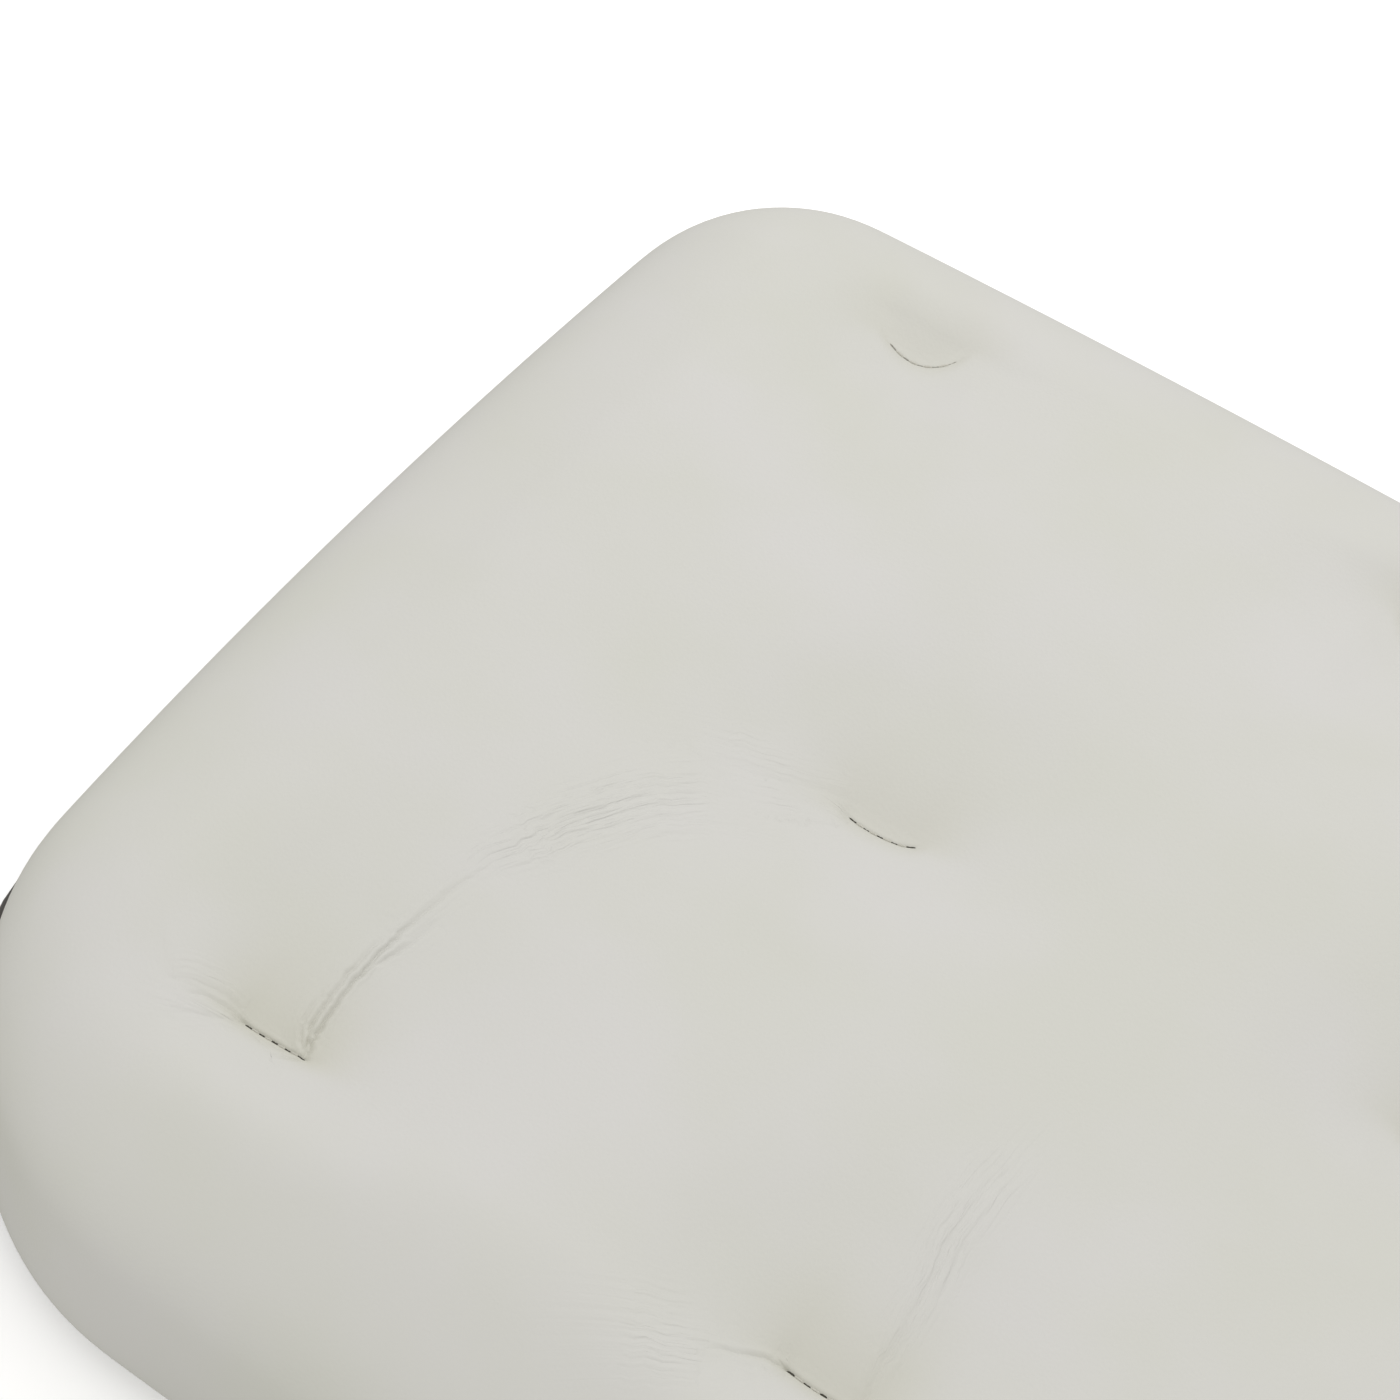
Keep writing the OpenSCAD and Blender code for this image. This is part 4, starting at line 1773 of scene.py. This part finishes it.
@dataclass
class BasePan:
    """The moulded pan under the cushion: floor, rounded bottom edge, side rims and low lips."""

    wall: float = 3.5 * MM
    edge_radius: float = 6 * MM
    lip: float = 8 * MM
    front_radius: float = 92 * MM
    back_radius: float = 60 * MM
    rim_front: float = 118 * MM
    rim_back: float = 98 * MM
    rim_fall: float = 44 * MM
    rim_mark: float = 1.0
    ring: float = 30 * MM
    boss_radius: float = 11 * MM
    bolt_hole: float = 3.4 * MM
    screw_boss: float = 7 * MM
    screw_recess: float = 4.5 * MM
    recess_depth: float = 2.3 * MM
    screw_hole: float = 2.25 * MM
    vent: float = 5 * MM
    vent_x: float = 40 * MM
    vent_in: float = 26.5 * MM

    def __post_init__(self) -> None:
        """Takes the pan's outer size from the frame."""
        self.low, self.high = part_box("base_pan")
        self.outline = Outline(
            (self.high.x - self.low.x) / 2,
            (self.high.y - self.low.y) / 2,
            self.front_radius,
            self.back_radius,
        )

    def rim_height(self, y: Points) -> Points:
        """Height of the rim, which is full along the sides and low at the front and the back.

        Args:
            y: Places from front to back.

        Returns:
            The height at each place.
        """
        start = np.where(y < 0, self.rim_front, self.rim_back)
        t = np.clip((abs(y) - start) / self.rim_fall, 0, 1)
        return self.lip + (self.high.z - self.lip) * (1 + np.cos(np.pi * t)) / 2

    def profile(self) -> list[tuple[float, float]]:
        """The wall from the inside floor, over the rim and under to the bottom.

        Points at the rim are given as rim_mark plus their height from its top, for the tray to set.

        Returns:
            Insets and heights.
        """
        points: list[tuple[float, float]] = [(self.ring, self.wall)]
        inner = 3 * MM
        for a in np.linspace(0, math.pi / 2, 5):
            points.append(
                (self.wall + inner * (1 - math.sin(a)), self.wall + inner * (1 - math.cos(a)))
            )
        round_over = self.wall / 2
        for a in np.linspace(0, math.pi, 9):
            height = self.rim_mark + round_over * math.sin(a) - round_over
            points.append((round_over * (1 + math.cos(a)), height))
        for a in np.linspace(math.pi / 2, 0, 9):
            points.append(
                (self.edge_radius * (1 - math.sin(a)), self.edge_radius * (1 - math.cos(a)))
            )
        points.append((self.ring, 0.0))
        return points

    def make_tray(self) -> bpy.types.Object:
        """Makes the tray before its holes are cut.

        Returns:
            The tray.
        """
        profile = self.profile()
        shell = Shell(self.outline, 60, 44, profile)
        points = shell.points()
        over = points[:, 2] > self.rim_mark / 2
        points[over, 2] += self.rim_height(points[over, 1]) - self.rim_mark
        last = shell.ring_numbers(len(profile) - 1)
        offset = len(points)
        patch = (shell.across + 1) * (shell.along + 1)
        bottom = points[:patch].copy()
        bottom[:, 2] = 0
        rim = shell.rim_numbers()
        points = np.vstack([points, bottom])
        faces = shell.patch_faces() + shell.ring_faces()
        faces += [tuple(n + offset for n in reversed(f)) for f in shell.patch_faces()]
        place_of = {r + offset: l for r, l in zip(rim, last)}
        faces = [tuple(place_of.get(n, n) for n in f) for f in faces]
        piece = make_piece("moulded_pan", points, faces)
        shape = bmesh.new()
        shape.from_mesh(piece.data)
        loose = [v for v in shape.verts if not v.link_faces]
        bmesh.ops.delete(shape, geom=loose, context="VERTS")
        bmesh.ops.recalc_face_normals(shape, faces=shape.faces)
        shape.to_mesh(piece.data)
        shape.free()
        return piece

    def posts(
        self, name: str, places: Places, radius: float, low: float, high: float
    ) -> bpy.types.Object:
        """Makes upright round posts, as tools for adding bosses or cutting holes.

        Args:
            name: The tool's name.
            places: x and y of each post.
            radius: Their radius.
            low: Their lower end.
            high: Their upper end.

        Returns:
            The posts as one object.
        """
        shape = bmesh.new()
        for x, y in places:
            bmesh.ops.create_cone(
                shape,
                cap_ends=True,
                segments=40,
                radius1=radius,
                radius2=radius,
                depth=high - low,
                matrix=Matrix.Translation((x, y, (low + high) / 2)),
            )
        mesh = bpy.data.meshes.new(name)
        shape.to_mesh(mesh)
        shape.free()
        piece = bpy.data.objects.new(name, mesh)
        bpy.context.scene.collection.objects.link(piece)
        return piece

    def make(
        self,
        bolts: Places,
        screws: Places,
        finish: bpy.types.Material,
    ) -> bpy.types.Object:
        """Makes the pan with its bosses and holes.

        Args:
            bolts: Places of the frame bolts.
            screws: Places of the pan's screws.
            finish: The plastic.

        Returns:
            The pan.
        """
        piece = self.make_tray()
        board_low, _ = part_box("seat_board")
        root, top, through = self.wall / 2, board_low.z, 20 * MM
        vent_y = max(abs(y) for _, y in bolts) - self.vent_in
        vents = [(sx * self.vent_x, sy * vent_y) for sx in (-1, 1) for sy in (-1, 1)]
        work = (
            ("UNION", "bolt_bosses", bolts, self.boss_radius, root, top),
            ("UNION", "screw_bosses", screws, self.screw_boss, root, top),
            ("DIFFERENCE", "bolt_holes", bolts, self.bolt_hole, -through, through),
            ("DIFFERENCE", "screw_holes", screws, self.screw_hole, -through, through),
            ("DIFFERENCE", "recesses", screws, self.screw_recess, -through, self.recess_depth),
            ("DIFFERENCE", "vents", vents, self.vent, -through, through),
        )
        tools = []
        for operation, name, places, radius, low, high in work:
            tools.append(self.posts(name, places, radius, low, high))
            cut = piece.modifiers.new(name, "BOOLEAN")
            cut.operation = operation
            cut.solver = "EXACT"
            cut.object = tools[-1]
        apply_modifiers(piece)
        for tool in tools:
            bpy.data.objects.remove(tool)
        soften = piece.modifiers.new("soften", "BEVEL")
        soften.width = 0.4 * MM
        soften.segments = 2
        soften.limit_method = "ANGLE"
        soften.angle_limit = math.radians(50)
        apply_modifiers(piece)
        piece.data.polygons.foreach_set("use_smooth", [True] * len(piece.data.polygons))
        dress(piece, [finish])
        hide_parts("base_pan")
        return piece


@dataclass
class PanScrews:
    """The screws that hold the pan: low domed heads with six-lobed recesses."""

    head_radius: float = 4 * MM
    head_height: float = 2 * MM
    shank_radius: float = 1.75 * MM
    socket_radius: float = 2 * MM
    socket_depth: float = 1.1 * MM
    pitch: float = 1.8 * MM
    sides: int = 48

    def profile(self, length: float) -> list[tuple[float, float]]:
        """Outline of a screw from the middle of its head upwards, without the socket.

        Args:
            length: The screw's length.

        Returns:
            Radii and heights.
        """
        points = [(self.socket_radius * s, 0.0) for s in (0.25, 0.5, 0.68, 0.78, 0.9, 1.0, 1.12)]
        for a in np.linspace(0.2, math.pi / 2, 6):
            r = 2.5 * MM + (self.head_radius - 2.5 * MM) * math.sin(a)
            points.append((r, 0.55 * self.head_height * (1 - math.cos(a))))
        points.append((self.head_radius, self.head_height))
        points.append((self.shank_radius, self.head_height))
        turns = max(4, round((length - self.head_height) / self.pitch))
        for i in range(turns):
            base = self.head_height + (length - self.head_height) * (i + 0.5) / turns
            points.append((self.shank_radius * 0.78, base))
            points.append((self.shank_radius, base + self.pitch * 0.3))
        points.append((self.shank_radius * 0.2, length))
        return points

    def make(self, places: Places, finish: bpy.types.Material) -> bpy.types.Object:
        """Makes all the pan's screws as one piece.

        Args:
            places: Where they are.
            finish: Their material.

        Returns:
            The screws.
        """
        low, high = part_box("pan_screws")
        profile = self.profile(high.z - low.z)
        points: list[tuple[float, float, float]] = []
        faces: list[Face] = []
        for x, y in places:
            first = len(points)
            for radius, z in profile:
                for k in range(self.sides):
                    a = 2 * math.pi * k / self.sides
                    lobe = self.socket_radius * (0.86 + 0.14 * math.cos(6 * a))
                    up = low.z + z + (self.socket_depth if radius < lobe and z == 0 else 0.0)
                    points.append((x + radius * math.cos(a), y + radius * math.sin(a), up))
            for i in range(len(profile) - 1):
                for k in range(self.sides):
                    a = first + i * self.sides + k
                    b = first + i * self.sides + (k + 1) % self.sides
                    faces.append((b, a, a + self.sides, b + self.sides))
            faces.append(tuple(first + k for k in range(self.sides)))
            end = first + (len(profile) - 1) * self.sides
            faces.append(tuple(end + k for k in reversed(range(self.sides))))
        piece = make_piece("domed_pan_screws", np.array(points), faces)
        make_normals_face_out(piece)
        dress(piece, [finish])
        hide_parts("pan_screws")
        return piece


def node_places(node: str, size: float) -> list[tuple[float, float]]:
    """Centres of the separate solids of one of the frame's nodes.

    Args:
        node: The node.
        size: A length that is larger than one solid and smaller than the gap between two.

    Returns:
        x, y pairs.
    """
    points = points_of(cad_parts[node])[:, :2]
    groups: dict[tuple[int, int], list[Points]] = {}
    for p in points:
        known = next((k for k in groups if math.dist(k, (p[0] / size, p[1] / size)) < 1), None)
        groups.setdefault(known or (p[0] / size, p[1] / size), []).append(p)
    centres = []
    for members in groups.values():
        spread = np.array(members)
        middle = (spread.min(0) + spread.max(0)) / 2
        centres.append((float(middle[0]), float(middle[1])))
    return centres


# ---------------------------------------------------------------- inner hardware


@dataclass
class Hardware:
    """The board, T-nuts, washers, twine and staples, which keep the frame's own shapes."""

    def finish(self, slots: Mapping[Slot, tuple[bpy.types.Material, Sequence[str]]]) -> None:
        """Gives nodes of the frame their materials.

        Args:
            slots: For each slot, its material and the names of its nodes.
        """
        for slot, (material, names) in slots.items():
            for name in names:
                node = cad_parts[name]
                node.data.materials.clear()
                node.data.materials.append(material)
                for polygon in node.data.polygons:
                    polygon.use_smooth = True
                edges = node.modifiers.new("even_shading", "WEIGHTED_NORMAL")
                edges.keep_sharp = True
            LOG.info("dressed %d nodes in %s", len(names), material.name)


# ---------------------------------------------------------------- studio


@dataclass(frozen=True)
class Studio:
    """Floor, lights and camera."""

    azimuth: float = 23.86
    elevation: float = 48.74
    roll: float = 12.16
    lens: float = 131.84
    distance: float = 1.28333
    aim: tuple[float, float, float] = (-0.1372, 0.0010, 0.090)

    def camera(self) -> None:
        """Places the camera by its angles round the aim point."""
        a, e, r = (math.radians(v) for v in (self.azimuth, self.elevation, self.roll))
        back = Vector((math.sin(a) * math.cos(e), -math.cos(a) * math.cos(e), math.sin(e)))
        right = Vector((math.cos(a), math.sin(a), 0))
        up = back.cross(right)
        rolled_right = right * math.cos(r) + up * math.sin(r)
        rolled_up = up * math.cos(r) - right * math.sin(r)
        data = bpy.data.cameras.new("camera")
        data.lens = self.lens
        data.sensor_width = 36
        camera = bpy.data.objects.new("camera", data)
        bpy.context.scene.collection.objects.link(camera)
        turn = Matrix((rolled_right, rolled_up, back)).transposed().to_4x4()
        camera.matrix_world = Matrix.Translation(Vector(self.aim) + back * self.distance) @ turn
        bpy.context.scene.camera = camera

    def floor(self) -> None:
        """Lays the pale floor."""
        corners = np.array([(-4, -4, 0), (4, -4, 0), (4, 4, 0), (-4, 4, 0)], float)
        piece = make_piece("floor", corners, [(0, 1, 2, 3)])
        material, tree, _ = new_tree("floor_white_laminate")
        close_tree(
            tree,
            {
                "Base Color": linear("#f4f4f3"),
                "Roughness": 0.8,
                "Emission Color": linear("#ffffff"),
                "Emission Strength": 0.32,
            },
            {},
        )
        piece.data.materials.append(material)
        piece.visible_diffuse = False
        piece.visible_glossy = False

    def lamp(self, name: str, place: tuple[float, float, float], size: float, power: float) -> None:
        """Hangs one square soft lamp that faces the seat.

        Args:
            name: Its name.
            place: Where it hangs.
            size: Its width.
            power: Its power in watts.
        """
        data = bpy.data.lights.new(name, "AREA")
        data.shape = "SQUARE"
        data.size = size
        data.energy = power
        lamp = bpy.data.objects.new(name, data)
        bpy.context.scene.collection.objects.link(lamp)
        lamp.location = place
        lamp.rotation_mode = "QUATERNION"
        lamp.rotation_quaternion = (Vector((0, 0, 0.08)) - Vector(place)).to_track_quat("-Z", "Y")

    def sky(self) -> None:
        """Fills the room with even light that is weaker from below."""
        world = bpy.data.worlds.new("studio")
        bpy.context.scene.world = world
        world.use_nodes = True
        tree = world.node_tree
        tree.nodes.clear()
        way = add_node(tree, "ShaderNodeTexCoord")
        parts = add_node(tree, "ShaderNodeSeparateXYZ", links={0: way.outputs["Generated"]})
        height = add_node(
            tree,
            "ShaderNodeMapRange",
            {"From Min": -0.75, "From Max": -0.15},
            {"Value": parts.outputs["Z"]},
        )
        tint = add_node(
            tree,
            "ShaderNodeValToRGB",
            {"stops": ((0.0, "#787869"), (1.0, "#dddcdb"))},
            {"Fac": height.outputs["Result"]},
        )
        light = add_node(
            tree,
            "ShaderNodeBackground",
            {"Strength": 1.08},
            {"Color": tint.outputs["Color"]},
        )
        add_node(tree, "ShaderNodeOutputWorld", links={"Surface": light.outputs["Background"]})

    def build(self) -> None:
        """Sets the whole studio up."""
        self.camera()
        self.floor()
        self.sky()
        self.lamp("softbox_back", (-0.25, 1.1, 1.35), 1.4, 9)
        self.lamp("fill_front", (-0.45, -1.25, 0.36), 1.2, 3.4)
        scene = bpy.context.scene
        scene.view_settings.view_transform = "Standard"
        scene.view_settings.look = "None"


# ---------------------------------------------------------------- build


def numbered(stem: str, count: int) -> list[str]:
    """Names that end in 1 to count."""
    return [f"{stem}_{k}" for k in range(1, count + 1)]


def main() -> None:
    """Builds the pad and its studio in order."""
    logging.basicConfig(level=logging.INFO, format="%(name)s: %(message)s")
    Studio().build()
    tufts = make_tufts()
    cushion = Cushion(tufts)
    cushion.simulate()
    cover = cushion.make_cover(FullGrainLeather().build())
    LOG.info("leather cover: %d faces", len(cover.data.polygons))
    seams = TuftSeams(cover)
    # The needle slits are painted shadow: dark on hard-pulled tufts, fainter on lightly pulled ones.
    thread, slit = BondedThread().build(), NeedleSlitShadow().build()
    shallow = NeedleSlitShadow("needle_slit_painted_shadow_shallow", "#85837b", "#a3a198").build()
    for tuft in tufts:
        seam = seams.make(tuft, thread, slit if tuft.pull > 0.6 else shallow)
        LOG.info("%s: %d faces", seam.name, len(seam.data.polygons))
    cushion.make_wadding(CellFilling("wadding_polyester", "#e4e4e0", "#f7f7f4", 1.6).build())
    cushion.make_foam(
        "foam_top_block", "foam_top", -1, cushion.marks["widest"],
        CellFilling("foam_soft_cut", "#e0cf98", "#f3e6bd", 0.9).build(),
    )
    cushion.make_foam(
        "foam_base_block", "foam_base", cushion.marks["widest"], cushion.marks["board"] - 1,
        CellFilling("foam_firm_cut", "#a9bfd6", "#cbdcec", 0.9).build(),
    )
    LOG.info("wadding and foam are in")
    bolts = [
        ((low.x + high.x) / 2, (low.y + high.y) / 2)
        for low, high in (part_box(name) for name in numbered("t_nut", 4))
    ]
    screws = node_places("pan_screws", 20 * MM)
    pan = BasePan().make(bolts, screws, MouldedPolypropylene().build())
    LOG.info("pan: %d faces, %d screws", len(pan.data.polygons), len(screws))
    PanScrews().make(screws, PlatedSteel("screw_black_zinc", "#3c3d3f", "#56585a").build())
    zinc = PlatedSteel("steel_zinc_plated", "#8f9194", "#c3c5c8").build()
    Hardware().finish(
        {
            Slot.PLYWOOD: (BirchPlywood().build(), ["seat_board"]),
            Slot.ZINC: (zinc, numbered("t_nut", 4)),
            Slot.WASHER: (zinc, numbered("tuft_washer", TUFT_COUNT)),
            Slot.TWINE: (
                BondedThread("twine_waxed_linen", "#b3a68b", "#dbd0b8", 0.9).build(),
                numbered("tuft_twine", TUFT_COUNT),
            ),
            Slot.STAPLE: (
                PlatedSteel("staple_galvanised", "#84878a", "#b4b7ba").build(),
                ["cover_staples"],
            ),
        }
    )


if __name__ == "__main__":
    main()
